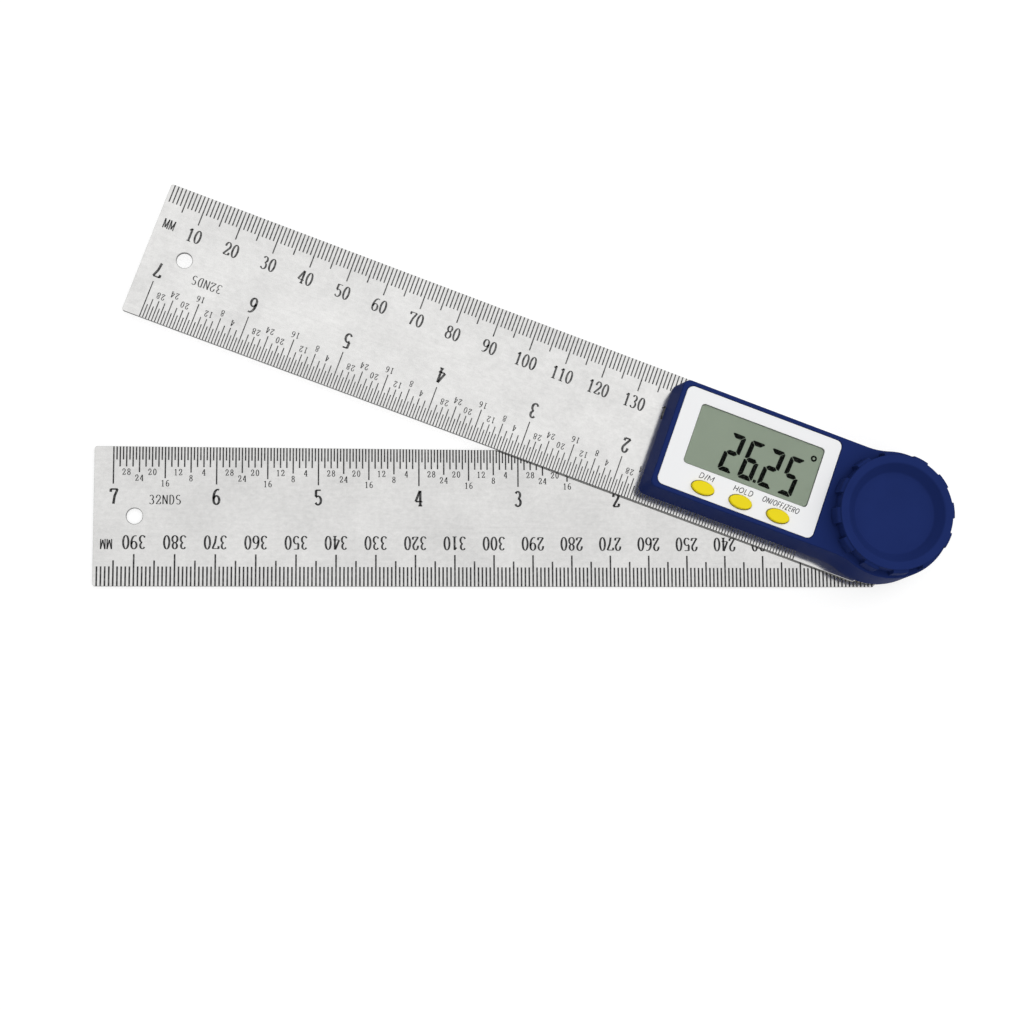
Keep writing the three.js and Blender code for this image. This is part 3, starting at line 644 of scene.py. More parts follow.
SIX = [bowl(0.5, 0.29, 0.37, 0.27, 0, 360), bowl(0.68, 0.42, 0.55, 0.54, 72, 188, 9)]
LETTERS = {
    "0": [bowl(0.5, 0.5, 0.37, 0.48, 0, 360, 18)],
    "1": [[(0.24, 0.8), (0.54, 0.96)], [(0.54, 0.98), (0.54, 0.02)], [(0.24, 0.02), (0.84, 0.02)]],
    "2": [bowl(0.48, 0.72, 0.34, 0.26, 192, -28, 11) + [(0.12, 0.05)], [(0.12, 0.05), (0.84, 0.05)],
          [(0.84, 0.05), (0.9, 0.24)]],
    "3": [bowl(0.46, 0.75, 0.31, 0.22, 155, -85, 9), bowl(0.46, 0.27, 0.37, 0.25, 88, -155, 9)],
    "4": [[(0.62, 0.98), (0.06, 0.28)], [(0.06, 0.28), (0.96, 0.28)], [(0.68, 0.98), (0.68, 0.02)],
          [(0.42, 0.02), (0.94, 0.02)]],
    "5": [[(0.2, 0.96), (0.82, 0.96)], [(0.2, 0.97), (0.17, 0.56)],
          bowl(0.46, 0.31, 0.38, 0.28, 138, -150, 10)],
    "6": SIX,
    "7": [[(0.06, 0.94), (0.94, 0.94)], [(0.08, 0.96), (0.06, 0.76)],
          [(0.92, 0.94), (0.56, 0.5), (0.42, 0.02)]],
    "8": [bowl(0.5, 0.75, 0.31, 0.22, 0, 360), bowl(0.5, 0.27, 0.37, 0.25, 0, 360)],
    "9": [[(1 - x, 1 - y) for x, y in stroke] for stroke in SIX],
    "M": [[(0.1, 0.98), (0.1, 0.02)], [(0.12, 0.98), (0.5, 0.1)], [(0.5, 0.1), (0.88, 0.98)],
          [(0.88, 0.98), (0.88, 0.02)]],
    "N": [[(0.14, 0.02), (0.14, 0.98)], [(0.14, 0.98), (0.86, 0.04)], [(0.86, 0.04), (0.86, 0.98)]],
    "D": [[(0.2, 0.98), (0.2, 0.02)], [(0.2, 0.98), (0.46, 0.98)], bowl(0.44, 0.5, 0.42, 0.48, 90, -90, 10),
          [(0.2, 0.02), (0.46, 0.02)]],
    "S": [bowl(0.5, 0.74, 0.33, 0.24, 40, 265, 9), bowl(0.5, 0.27, 0.35, 0.25, 92, -145, 9)],
}


PEN_CONTRAST = 1.6  # the higher, the sooner a stroke that leans gets fine


def pen_stroke(form, points, heavy, fine, low, high):
    """A thin raised strip along a stroke, added to a mesh under construction."""
    closed = (points[0] - points[-1]).length < TINY
    points = points[:-1] if closed else points
    sides = []
    for index, point in enumerate(points):
        before = point - points[index - 1] if closed or index else points[1] - point
        after = points[(index + 1) % len(points)] - point if closed or index + 1 < len(points) else before
        along = (before.normalized() + after.normalized()).normalized()
        half = (fine + (heavy - fine) * abs(along.y) ** PEN_CONTRAST) / 2
        across = Vector((-along.y, along.x)) * half
        sides.append([form.verts.new((*(point + side * across), level))
                      for level in (low, high) for side in (1, -1)])
    links = list(zip(sides, sides[1:])) + ([(sides[-1], sides[0])] if closed else [])
    for (left, right, left_top, right_top), (left_2, right_2, left_top_2, right_top_2) in links:
        form.faces.new((right_top, right_top_2, left_top_2, left_top))
        form.faces.new((left, left_top, left_top_2, left_2))
        form.faces.new((right, right_2, right_top_2, right_top))
    if not closed:
        for left, right, left_top, right_top in (sides[0], sides[-1]):
            form.faces.new((left, right, right_top, left_top))


INK_DEPTH, LINE_START = 0.004, 0.02
NUMBERS = {"width_share": 0.5, "weight": 0.15, "fineness": 0.06, "pitch_share": 0.57}
INCH_NUMBERS = {"width_share": 0.48, "weight": 0.16, "fineness": 0.1, "pitch_share": 0.6}
SMALL_NUMBERS = {"width_share": 0.54, "weight": 0.15, "fineness": 0.09, "pitch_share": 0.75}
MM_LETTERS = {"width_share": 0.52, "weight": 0.12, "fineness": 0.06, "pitch_share": 0.6}
UNIT_LETTERS = {"width_share": 0.58, "weight": 0.13, "fineness": 0.06, "pitch_share": 0.68}
MM_INSET, MM_PLACE, MM_TALLER = 3.2, 10.45, 1.1
UNIT_INSET, UNIT_PLACE = 12.75, 13.35
INCH_PARTS = 32
INCH_LINES = {1: 3.35, 2: 5.1, 8: 6.5, 16: 8, 32: 9.45}  # lengths of the lines on every so many parts
SMALL_NUMBER_PLACES = {16: 9.22, 8: 7.9, 24: 7.9}
SMALL_NUMBER_PLACE = 6.4
LAST_NUMBER_ASIDE = 0.25


class Printing:
    """Marks along an edge of a rule: u runs in the reading direction from the pivot, v from the edge in."""

    def __init__(self, sizes, level, upright, shift):
        self.form = bmesh.new()
        self.low, self.high = level - INK_DEPTH, level + sizes.ink_height
        self.turn = 1 if upright else -1
        self.shift = shift

    def at(self, u, v):
        return Vector((self.turn * u, self.turn * (RULE_HALF - v)))

    def line(self, u, reach_in, width):
        """A graduation line; on the rounded nose it starts at the nose's own edge."""
        x = self.turn * u
        start = RULE_HALF - math.sqrt(NOSE_RADIUS ** 2 - x ** 2) if x > -NOSE_CHAMFER else LINE_START
        end, half = reach_in + self.shift, width / 2
        corners = [self.at(u + side * half, v) for side, v in ((-1, end), (1, end), (1, start), (-1, start))]
        low, high = (
            [self.form.verts.new((*corner, level)) for corner in corners] for level in (self.low, self.high))
        self.form.faces.new(high)
        for index in range(4):
            after = (index + 1) % 4
            self.form.faces.new((low[index], low[after], high[after], high[index]))

    def text(self, words, u, v, height, width_share, weight, fineness, pitch_share):
        """Letters centred on a point, their tops towards the edge; the shares are of their height."""
        pitch, width = height * pitch_share, height * width_share
        start, level = u - pitch * (len(words) - 1) / 2, v + self.shift
        for index, letter in enumerate(words):
            centre = start + index * pitch
            for stroke in LETTERS[letter]:
                points = [self.at(centre + (x - 0.5) * width, level - (y - 0.5) * height) for x, y in stroke]
                pen_stroke(self.form, points, height * weight, height * fineness, self.low, self.high)

    def mesh(self):
        return finished(self.form)


def millimetre_marks(sizes, level, upright, shift, weight):
    """A millimetre scale whose numbers grow in the reading direction, with the rule's reach at the pivot."""
    marks = Printing(sizes, level, upright, -shift)
    lengths = {0: sizes.ten_line, 5: sizes.five_line}
    width = sizes.line_width * weight
    far = -1 if upright else 1
    reach_count = round(RULE_REACH)
    for step in range(1, reach_count):
        marks.line(far * step, lengths.get(step % 10, sizes.millimetre_line), width)
        if step % 10 == 0:
            number = reach_count + far * step
            marks.text(str(number), far * step, sizes.number_place, sizes.number_height, **NUMBERS)
    marks.line(0, sizes.ten_line, width)
    marks.text("MM", far * (RULE_REACH - MM_INSET), MM_PLACE, sizes.unit_height * MM_TALLER, **MM_LETTERS)
    return marks.mesh()


def inch_marks(sizes, level, upright, shift, weight):
    """An inch scale in thirty-seconds that starts beside the pivot."""
    marks = Printing(sizes, level, upright, shift)
    width = sizes.inch_line_width * weight
    far = -1 if upright else 1
    last = INCH_PARTS * sizes.inches
    for step in range(last + 1):
        place = far * (sizes.inch_start + INCH * step / INCH_PARTS)
        marks.line(place, max(line for parts, line in INCH_LINES.items() if step % parts == 0), width)
        inch, within = divmod(step, INCH_PARTS)
        if within == 0:
            aside = LAST_NUMBER_ASIDE * far if step == last else 0
            marks.text(
                str(inch), place - aside, sizes.inch_number_place, sizes.inch_number_height, **INCH_NUMBERS)
        elif within % 4 == 0:
            row = SMALL_NUMBER_PLACES.get(within, SMALL_NUMBER_PLACE)
            marks.text(str(within), place, row, sizes.small_number_height, **SMALL_NUMBERS)
    units_at = far * (sizes.inch_start + INCH * sizes.inches - UNIT_INSET)
    marks.text("32NDS", units_at, UNIT_PLACE, sizes.unit_height, **UNIT_LETTERS)
    return marks.mesh()


# The rules

def rule_blank(low, high):
    """The steel blank of a rule, its pivot end rounded about the axis and its edges slightly broken."""
    corner, end = RULE_CORNER, RULE_CORNER - RULE_REACH
    outline = (
        arc(end, corner - RULE_HALF, corner, 180, 270, 6)
        + [Vector((-NOSE_CHAMFER, -RULE_HALF))]
        + arc(0, 0, NOSE_RADIUS, -90, 90, 96)
        + [Vector((-NOSE_CHAMFER, RULE_HALF))]
        + arc(end, RULE_HALF - corner, corner, 90, 180, 6))
    return prism(outline, low, high, BROKEN_EDGE, BROKEN_EDGE)


def drilled(radius, low, high, place=(0, 0)):
    """A cutting form for a round hole whose edges are slightly broken."""
    wide = radius + BROKEN_EDGE + OVERRUN
    profile = [(0, low - OVERRUN), (wide, low - OVERRUN), (radius, low + BROKEN_EDGE),
               (radius, high - BROKEN_EDGE), (wide, high + OVERRUN), (0, high + OVERRUN)]
    return lathe(profile, 96, place)


def screw_places(kind, count):
    return [middle(f"{kind}_screw_{number}") for number in range(1, count + 1)]


def about_cell(form, degrees):
    """A form drawn about the pivot, turned and moved to the cell."""
    turn = Matrix.Rotation(math.radians(degrees), 4, "Z")
    form.transform(Matrix.Translation((*CELL_PLACE, 0)) @ turn)
    return form


class FINDER_OT_rules(bpy.types.Operator):
    """Make the two steel rules with their holes and slightly broken edges"""
    bl_idname = "angle_finder.rules"
    bl_label = "Steel rules"

    def execute(self, context):
        hang_hole = Vector((HOLE_INSET - RULE_REACH, 0))
        foot = reach("pivot_hub")[1].x + PLAY
        shaft = HUB_SHAFT + PLAY
        foot_hole = lathe([(0, -OVERRUN), (foot, -OVERRUN), (foot, 0), (shaft, BASE_TOP),
                           (shaft, BASE_TOP + OVERRUN), (0, BASE_TOP + OVERRUN)])
        lower = combine(rule_blank(0, BASE_TOP), [foot_hole, drilled(HOLE_RADIUS, 0, BASE_TOP, hang_hole)])
        piece("lower_rule", lower, "satin_steel", "base_arm", "base_rule")

        low, high = DISPLAY_BOTTOM, DISPLAY_TOP
        upper = combine(rule_blank(low, high), [drilled(BUSH_RADIUS + PLAY, low, high)])
        upper = combine(upper, [drilled(HOLE_RADIUS, low, high, hang_hole)])
        upper = combine(upper, [drilled(CAP_RADIUS + PLAY, low, high, CELL_PLACE)])
        notch_start, notch_corner, lug_half = 4, 0.4, LUG_HALF + PLAY
        for number in range(LUGS):
            notch = rounded_box(notch_start, LUG_RADIUS + PLAY, -lug_half, lug_half, notch_corner)
            notch = prism(notch, low - OVERRUN, high + OVERRUN)
            upper = combine(upper, [about_cell(notch, 360 / LUGS * number - CAP_TURN)])
        wide, narrow = SCREW_HEAD_RADIUS + PLAY, SCREW_RADIUS + PLAY
        sink = [(0, low - OVERRUN), (wide, low - OVERRUN), (wide, low), (narrow, low + SCREW_HEAD_DEPTH),
                (narrow, high + OVERRUN), (0, high + OVERRUN)]
        for place in screw_places("housing", 4):
            upper = combine(upper, [lathe(sink, 64, place)])
        piece("upper_rule", upper, "satin_steel_upper", "display_arm", "display_rule")
        return {"FINISHED"}


class FINDER_OT_graduations(bpy.types.Operator):
    """Print the millimetre and inch scales on both rules"""
    bl_idname = "angle_finder.graduations"
    bl_label = "Graduations"

    def execute(self, context):
        sizes = settings("finder_scales")
        rules = (
            ("lower", "base_arm", BASE_TOP, "printed_ink", 0, 1),
            ("upper", "display_arm", DISPLAY_TOP, "printed_ink_upper", sizes.upper_shift, sizes.upper_lines))
        for rule, body, level, ink, shift, weight in rules:
            for unit, marks in (("millimetre", millimetre_marks), ("inch", inch_marks)):
                upright = (rule == "lower") == (unit == "inch")
                mesh = marks(sizes, level, upright, shift, weight)
                piece(f"{rule}_{unit}_scale", mesh, ink, body)
        return {"FINISHED"}


# The pivot

class FINDER_OT_pivot(bpy.types.Operator):
    """Make the riveted hub, the brass bush and the slip disc of the pivot"""
    bl_idname = "angle_finder.pivot"
    bl_label = "Pivot"

    def execute(self, context):
        top = reach("pivot_hub")[1].z
        rotor_low = reach("encoder_rotor")[0].z
        dimple, dimple_depth, seat, seat_height, stud, point, eased = 0.9, 0.35, 4.6, 1.9, 4, 0.5, 0.08
        seat_top = rotor_low + seat_height
        hub = [(0, dimple_depth), (dimple, 0), (HUB_FOOT, 0), (HUB_SHAFT, BASE_TOP), (HUB_SHAFT, rotor_low),
               (seat, rotor_low), (seat, seat_top), (stud, seat_top), (stud, top - point),
               (stud - point, top), (0, top)]
        bore, collar, collar_height, slip_radius = HUB_SHAFT + PLAY, 9.35, 0.8, 15.5
        flange = DISPLAY_TOP + collar_height
        bush = [(bore, DISPLAY_BOTTOM), (BUSH_RADIUS, DISPLAY_BOTTOM), (BUSH_RADIUS, DISPLAY_TOP),
                (collar, DISPLAY_TOP), (collar, flange), (bore, flange)]
        disc = [(bore, BASE_TOP), (slip_radius, BASE_TOP), (slip_radius, DISPLAY_BOTTOM),
                (bore, DISPLAY_BOTTOM)]
        hub, bush = soften(hub, eased), soften(bush, eased, closed=True)
        piece("riveted_hub", lathe(hub), "bright_steel", "base_arm", "pivot_hub")
        piece("flanged_bush", lathe(bush), "turned_brass", "display_arm", "pivot_bush")
        piece("slip_disc", lathe(disc), "slip_plastic", "base_arm", "glide_washer")
        return {"FINISHED"}


# The housing

HOUSING_BACK, HOUSING_HALF, HOUSING_END = 61.6, 15.1, 16.9
FLARE_RADIUS, HOUSING_CORNER, DRAFT, HOUSING_EDGE, WALL = 18, 1.8, 0.65, 0.4, 1.6
PANEL_CORNER, WINDOW_CORNER = 1.7, 1.0
BOSS_RADIUS, BOSS_HEIGHT, POST_RADIUS, STUD_OPENING = 2.3, 8, 1.9, 7.2
KEY_ROOM = 1.35  # below the ceiling, for the ears of the keys


def housing_outline(inset):
    """Straight sides that flare into a round end about the pivot."""
    half, end, flare = HOUSING_HALF - inset, HOUSING_END - inset, FLARE_RADIUS + inset
    back, corner = inset - HOUSING_BACK, HOUSING_CORNER
    across = half + flare
    along = math.sqrt((end + flare) ** 2 - across ** 2)
    lean = math.degrees(math.atan2(across, along))
    return (
        arc(back + corner, corner - half, corner, 180, 270, 10)
        + arc(-along, -across, flare, 90, lean, 14)
        + arc(0, 0, end, lean - 180, 180 - lean, 110)[1:-1]
        + arc(-along, across, flare, -lean, -90, 14)
        + arc(back + corner, half - corner, corner, 90, 180, 10))


def drafted(height):
    return DRAFT * (height - DISPLAY_TOP) / (HOUSING_TOP - DISPLAY_TOP)


def panel_outline(growth=0):
    low, high = PANEL_LOW, PANEL_HIGH
    return rounded_box(low.x - growth, high.x + growth, low.y - growth, high.y + growth, PANEL_CORNER)


def window_outline(growth=0):
    """The opening for the window; the window itself is smaller by the play."""
    low, high = LENS_LOW, LENS_HIGH
    growth += PLAY
    return rounded_box(low.x - growth, high.x + growth, low.y - growth, high.y + growth, WINDOW_CORNER)


def key_place(name):
    return middle(f"button_{name}")


def key_openings(low, high):
    hole = oval(KEY_LENGTH + 2 * KEY_GAP, KEY_WIDTH + 2 * KEY_GAP)
    return [prism(shifted(hole, key_place(name) + KEY_ASIDE), low, high) for name in KEYS]


class FINDER_OT_housing(bpy.types.Operator):
    """Mould the housing: draft, rounded top edge, wall, bosses, posts, panel recess and openings"""
    bl_idname = "angle_finder.housing"
    bl_label = "Housing"

    def execute(self, context):
        start = HOUSING_TOP - HOUSING_EDGE
        upper = rounded_edge(
            lambda inset: housing_outline(drafted(start) + inset), HOUSING_TOP, HOUSING_EDGE, 1, 6)
        outer = loft([(housing_outline(0), DISPLAY_TOP)] + upper)
        hollow = loft([(housing_outline(WALL), DISPLAY_TOP - OVERRUN), (housing_outline(WALL), DISPLAY_TOP),
                       (housing_outline(WALL + drafted(CEILING)), CEILING)])
        board_top, high = reach("circuit_board")[1].z, HOUSING_TOP + OVERRUN
        bosses, posts, pilots = [], [], []
        for place in screw_places("housing", 4):
            boss = rod(BOSS_RADIUS, DISPLAY_TOP, DISPLAY_TOP + BOSS_HEIGHT, place)
            bosses.append(combine(boss, [outer], "INTERSECT"))
            end = reach("housing_screw_1")[1].z + PLAY
            pilots.append(rod(SCREW_RADIUS + PLAY, DISPLAY_TOP - OVERRUN, end, place, 32))
        for place in screw_places("board", 2):
            posts.append(rod(POST_RADIUS, board_top, CEILING + PLAY, place))
            end = reach("board_screw_1")[1].z + PLAY
            pilots.append(rod(BOARD_SCREW_RADIUS + PLAY, board_top - OVERRUN, end, place, 32))
        shell = combine(combine(outer, [hollow]), bosses + posts, "UNION")
        shell = combine(shell, [prism(panel_outline(PLAY), PANEL_LOW.z, high)])
        shell = combine(shell, [
            prism(window_outline(PLAY), CEILING - OVERRUN, high),
            rod(STUD_OPENING, CEILING - OVERRUN, high, facets=96),
            *key_openings(CEILING - KEY_ROOM, high), *pilots])
        piece("moulded_housing", shell, "blue_plastic", "display_arm", "housing_shell")
        return {"FINISHED"}


LABEL_LETTERS = {
    "D": (0.8, [[(0, 0), (0, 1), (0.5, 1), (0.85, 0.85), (1, 0.5), (0.85, 0.15), (0.5, 0), (0, 0)]]),
    "/": (0.25, [[(0, -0.05), (1, 1.05)]]),
    "M": (1.1, [[(0, 0), (0, 1)], [(0, 1), (0.5, 0.2), (1, 1)], [(1, 1), (1, 0)]]),
    "H": (0.75, [[(0, 0), (0, 1)], [(1, 0), (1, 1)], [(0, 0.5), (1, 0.5)]]),
    "O": (0.95, [bowl(0.5, 0.5, 0.5, 0.5, 0, 360)]),
    "L": (0.55, [[(0, 1), (0, 0), (1, 0)]]),
    "N": (0.75, [[(0, 0), (0, 1)], [(0, 1), (1, 0)], [(1, 0), (1, 1)]]),
    "F": (0.5, [[(0, 0), (0, 1), (1, 1)], [(0, 0.5), (0.85, 0.5)]]),
    "Z": (0.65, [[(0, 1), (1, 1)], [(1, 1), (0, 0)], [(0, 0), (1, 0)]]),
    "E": (0.5, [[(1, 1), (0, 1), (0, 0), (1, 0)], [(0, 0.5), (0.9, 0.5)]]),
    "R": (0.6, [[(0, 0), (0, 1), (0.7, 1), (1, 0.88), (1, 0.6), (0.7, 0.48), (0, 0.48)],
                [(0.55, 0.48), (1, 0)]]),
}
LABELS = {"mode": ("D/M", 4.05, 0.0), "hold": ("HOLD", 5.4, -0.2), "power": ("ON/OFF/ZERO", 10.2, -0.2)}
LABEL_HEIGHT, LABEL_ABOVE, LABEL_INK, LABEL_LEAN, LABEL_STROKE, LABEL_SPACE = 1.55, 3.12, 0.02, 0.2, 0.2, 0.4


def label(words, place, width, level):
    """Plain slanted letters of one stroke width as thin raised ink, fitted to a width."""
    tall = LABEL_HEIGHT - LABEL_STROKE
    along, placed = 0, []
    for letter in words:
        wide, strokes = LABEL_LETTERS[letter]
        placed += [[(along + x * wide, y) for x, y in stroke] for stroke in strokes]
        along += wide + LABEL_SPACE
    across = along - LABEL_SPACE
    share = (width - LABEL_STROKE - LABEL_LEAN * tall) / across
    form = bmesh.new()
    for stroke in placed:
        points = [place + Vector(((x - across / 2) * share + LABEL_LEAN * (y - 0.5) * tall, (y - 0.5) * tall))
                  for x, y in stroke]
        pen_stroke(form, points, LABEL_STROKE, LABEL_STROKE, level - LABEL_INK / 2, level + LABEL_INK / 2)
    return finished(form)


class FINDER_OT_panel(bpy.types.Operator):
    """Make the white front panel and print the words above its keys"""
    bl_idname = "angle_finder.panel"
    bl_label = "Front panel"

    def execute(self, context):
        low, high, edge, label_lift = PANEL_LOW.z, PANEL_HIGH.z, 0.1, 0.005
        sheet = combine(prism(panel_outline(), low, high, 0, edge),
                        [prism(window_outline(), low - OVERRUN, high + OVERRUN),
                         *key_openings(low - OVERRUN, high + OVERRUN)])
        piece("front_panel", sheet, "white_panel", "display_arm", "face_panel")
        for name, (words, width, aside) in LABELS.items():
            place = key_place(name) + Vector((aside, LABEL_ABOVE))
            mesh = label(words, place, width, high + label_lift)
            piece(f"{name}_label", mesh, "label_ink", "display_arm")
        return {"FINISHED"}


# The display

PANE, PANE_LOWER_EDGE, PANE_UPPER_EDGE = 0.3, 0.05, 0.1
FILM, FILM_GAP, BAR_HEIGHT = 0.3, 0.05, 0.02
BAR_WAIST = 0.08  # from an upright bar's tip to the gap beside it
DEGREE_SIGN = {"place": (-23.2, 6.66), "bore": 0.34, "radius": 0.81}
SEGMENTS = {"0": "abcdef", "1": "bc", "2": "abged", "3": "abgcd", "4": "fgbc", "5": "afgcd", "6": "afgedc",
            "7": "abc", "8": "abcdefg", "9": "abcdfg"}


def digit_bars(number, sizes):
    """Outlines of a digit's bars about its centre; their ends are mitred and its corners cut off."""
    width, level_width, gap, cut = sizes.bar_width, sizes.level_bar_width, sizes.bar_gap, sizes.corner_cut
    across, up = (sizes.digit_width + width) / 2, (sizes.digit_height + level_width) / 2
    short, deep = (cut - gap) / 2, (cut + gap) / 2
    end = [(across - gap - level_width, up - level_width), (across - deep, up - short), (across - cut, up)]
    level = end + [(-x, y) for x, y in reversed(end)]
    waist = gap + BAR_WAIST
    upright = [(across, waist), (across, up - cut), (across - short, up - deep),
               (across - width, up - gap - width), (across - width, width / 2 + waist),
               (across - width / 2, waist)]
    tip, shoulder = across - width / 2, across - width / 2 - level_width / 2
    middle_bar = [(-tip, 0), (-shoulder, -level_width / 2), (shoulder, -level_width / 2), (tip, 0),
                  (shoulder, level_width / 2), (-shoulder, level_width / 2)]
    bars = {"a": (level, 1, 1), "d": (level, 1, -1), "b": (upright, 1, 1), "c": (upright, 1, -1),
            "f": (upright, -1, 1), "e": (upright, -1, -1), "g": (middle_bar, 1, 1)}
    for letter in SEGMENTS[number]:
        outline, flip_x, flip_y = bars[letter]
        turned = [Vector((x * flip_x, y * flip_y)) for x, y in outline]
        yield turned[::flip_x * flip_y]


class FINDER_OT_display(bpy.types.Operator):
    """Make the clear window and the dark bars of the reading behind it"""
    bl_idname = "angle_finder.display"
    bl_label = "Display"

    def execute(self, context):
        sizes = settings("finder_display")
        pane_bottom = LENS_HIGH.z - PANE
        level = pane_bottom - FILM_GAP
        top = level + BAR_HEIGHT
        pane = window_outline(-PLAY)
        pane = prism(pane, pane_bottom, LENS_HIGH.z, PANE_LOWER_EDGE, PANE_UPPER_EDGE)
        piece("clear_window", pane, "clear_window", "display_arm", "window_lens")
        film = prism(window_outline(-PLAY), level - FILM, level)
        piece("display_film", film, "display_glass", "display_arm")

        bars, index = [], 0
        dot_aside, dot_drop, rounding = 0.32, 0.05, 0.15
        half = sizes.dot_side / 2
        for sign in reversed(sizes.reading):
            if sign == ".":
                dot = Vector((sizes.digit_pitch * (0.5 - index) - dot_aside,
                              -dot_drop - sizes.digit_height / 2))
                bars.append(shifted(rounded_box(-half, half, -half, half, rounding), dot))
                continue
            for outline in digit_bars(sign, sizes):
                bars.append([point + Vector((sizes.lean * point.y - sizes.digit_pitch * index, 0))
                             for point in soften(outline, rounding, 3, closed=True)])
            index += 1
        centre = Vector((-sizes.digits_middle_x, sizes.digits_middle_y))
        turn = Matrix.Rotation(sizes.row_turn, 2)
        bars = [prism([centre + turn @ point for point in outline], level, top) for outline in bars]
        bore, radius = DEGREE_SIGN["bore"], DEGREE_SIGN["radius"]
        ring = lathe([(bore, level), (radius, level), (radius, top), (bore, top)], 48, DEGREE_SIGN["place"])
        piece("reading", joined(bars + [ring]), "display_segment", "display_arm")
        return {"FINISHED"}


class FINDER_OT_keys(bpy.types.Operator):
    """Mould the three domed yellow keys with their ears and stems"""
    bl_idname = "angle_finder.keys"
    bl_label = "Keys"

    def execute(self, context):
        ear_half, ear_height, ear_corner, dome, stem_radius, stem_edge = 1.4, 0.8, 0.3, 0.35, 1.2, 0.1
        ear_bottom = CEILING - ear_height
        stem_top = ear_bottom + PLAY
        for name in KEYS:
            place = key_place(name)
            low, high = reach(f"button_{name}")
            body = prism(shifted(oval(KEY_LENGTH, KEY_WIDTH), place + KEY_ASIDE), ear_bottom, high.z, 0, dome)
            ears = rounded_box(low.x - place.x, high.x - place.x, -ear_half, ear_half, ear_corner)
            ears = prism(shifted(ears, place), ear_bottom, CEILING)
            stem = [(0, low.z), (stem_radius, low.z), (stem_radius, stem_top), (0, stem_top)]
            stem = lathe(soften(stem, stem_edge), 48, place)
            key = combine(body, [ears, stem], "UNION")
            piece(f"{name}_key", key, "yellow_plastic", f"button_{name}", f"button_{name}")
        return {"FINISHED"}


# The knob

def knob_rows(sizes):
    """Rows from the nut's pocket round to the dish: a (radius, height) between lobes and one on a lobe."""
    low, top = KNOB_BOTTOM, KNOB_TOP
    core, lobe = sizes.core_radius, sizes.lobe_radius
    edge, edge_middle, foot, foot_middle = 0.35, 0.1, 0.15, 0.04
    pocket_edge, brow_edge, ledge = 0.12, 0.4, 0.02
    nut_radius, groove_inner, groove_outer, groove_depth = 6.5, 9, 13, 1.1
    pocket, pocket_top = nut_radius + PLAY, reach("knob_insert")[1].z
    groove_top = low + groove_depth
    shared = [(0, pocket_top), (pocket, pocket_top), (pocket, low), (groove_inner, low),
              (groove_inner, groove_top), (groove_outer, groove_top), (groove_outer, low)]
    rows = [((radius, height), (radius, height)) for radius, height in soften(shared, pocket_edge, 2)]
    rows += [((core - foot, low), (lobe - edge, low)),
             ((core - foot_middle, low + foot_middle), (lobe - edge_middle, low + edge_middle)),
             ((core, low + foot), (lobe, low + edge))]
    brow, brow_height = lobe - sizes.lobe_draft, low + sizes.lobe_height
    slope = (top - edge / 2 - brow_height) / (brow - core + edge)
    meets = brow_height + slope * (brow - core)
    shoulder = soften([(lobe, low + edge), (brow, brow_height), (core, meets)], brow_edge, 4)[1:-1]
    rows += [((core, point.y), tuple(point)) for point in shoulder]
    rows += [((core, meets), (core + ledge, meets))]
    floor = top - sizes.dish_depth
    rim = [(core, meets), (core, top), (sizes.dish_radius, top), (sizes.floor_radius, floor), (0, floor)]
    return rows + [(tuple(point), tuple(point)) for point in soften(rim, edge, 5)[1:]]


def knob_columns(sizes):
    """Angles round the knob, in degrees, each with its share of a lobe: 0 between lobes, 1 on one."""
    spacing, half = 360 / sizes.lobes, 90 / sizes.lobes
    flank = [(-half - 0.35, 0), (-half - 0.06, 0.04), (-half + 0.06, 0.93), (-half + 0.4, 1)]
    profile = flank + [(share * half, 1) for share in (-0.75, -0.5, -0.25, 0, 0.25, 0.5, 0.75)]
    profile += [(-angle, weight) for angle, weight in reversed(flank)]
    profile += [(half + share * (spacing - 2 * half), 0) for share in (0.2, 0.35, 0.5, 0.65, 0.8)]
    return [(math.degrees(sizes.lobe_turn) + number * spacing + angle, weight)
            for number in range(sizes.lobes) for angle, weight in profile]


class FINDER_OT_knob(bpy.types.Operator):
    """Mould the dished knob whose grip lobes slope in to its rim"""
    bl_idname = "angle_finder.knob"
    bl_label = "Locking knob"

    def execute(self, context):
        sizes = settings("finder_knob")
        columns = knob_columns(sizes)
        form = bmesh.new()
        grid = []
        for (core_radius, core_height), (lobe_radius, lobe_height) in knob_rows(sizes):
            if core_radius < TINY:
                grid.append([form.verts.new((0, 0, core_height))] * len(columns))
                continue
            ring = []
            for angle, weight in columns:
                radius = core_radius + (lobe_radius - core_radius) * weight
                height = core_height + (lobe_height - core_height) * weight
                turn = math.radians(angle)
                ring.append(form.verts.new((radius * math.cos(turn), radius * math.sin(turn), height)))
            grid.append(ring)
        for row, following in zip(grid, grid[1:]):
            for index in range(len(columns)):
                after = (index + 1) % len(columns)
                corners = (row[index], row[after], following[after], following[index])
                form.faces.new(list(dict.fromkeys(corners)))
        piece("lobed_knob", finished(form), "blue_plastic", "lock_knob", "lock_knob", sharp_degrees=28)
        return {"FINISHED"}


# The underside

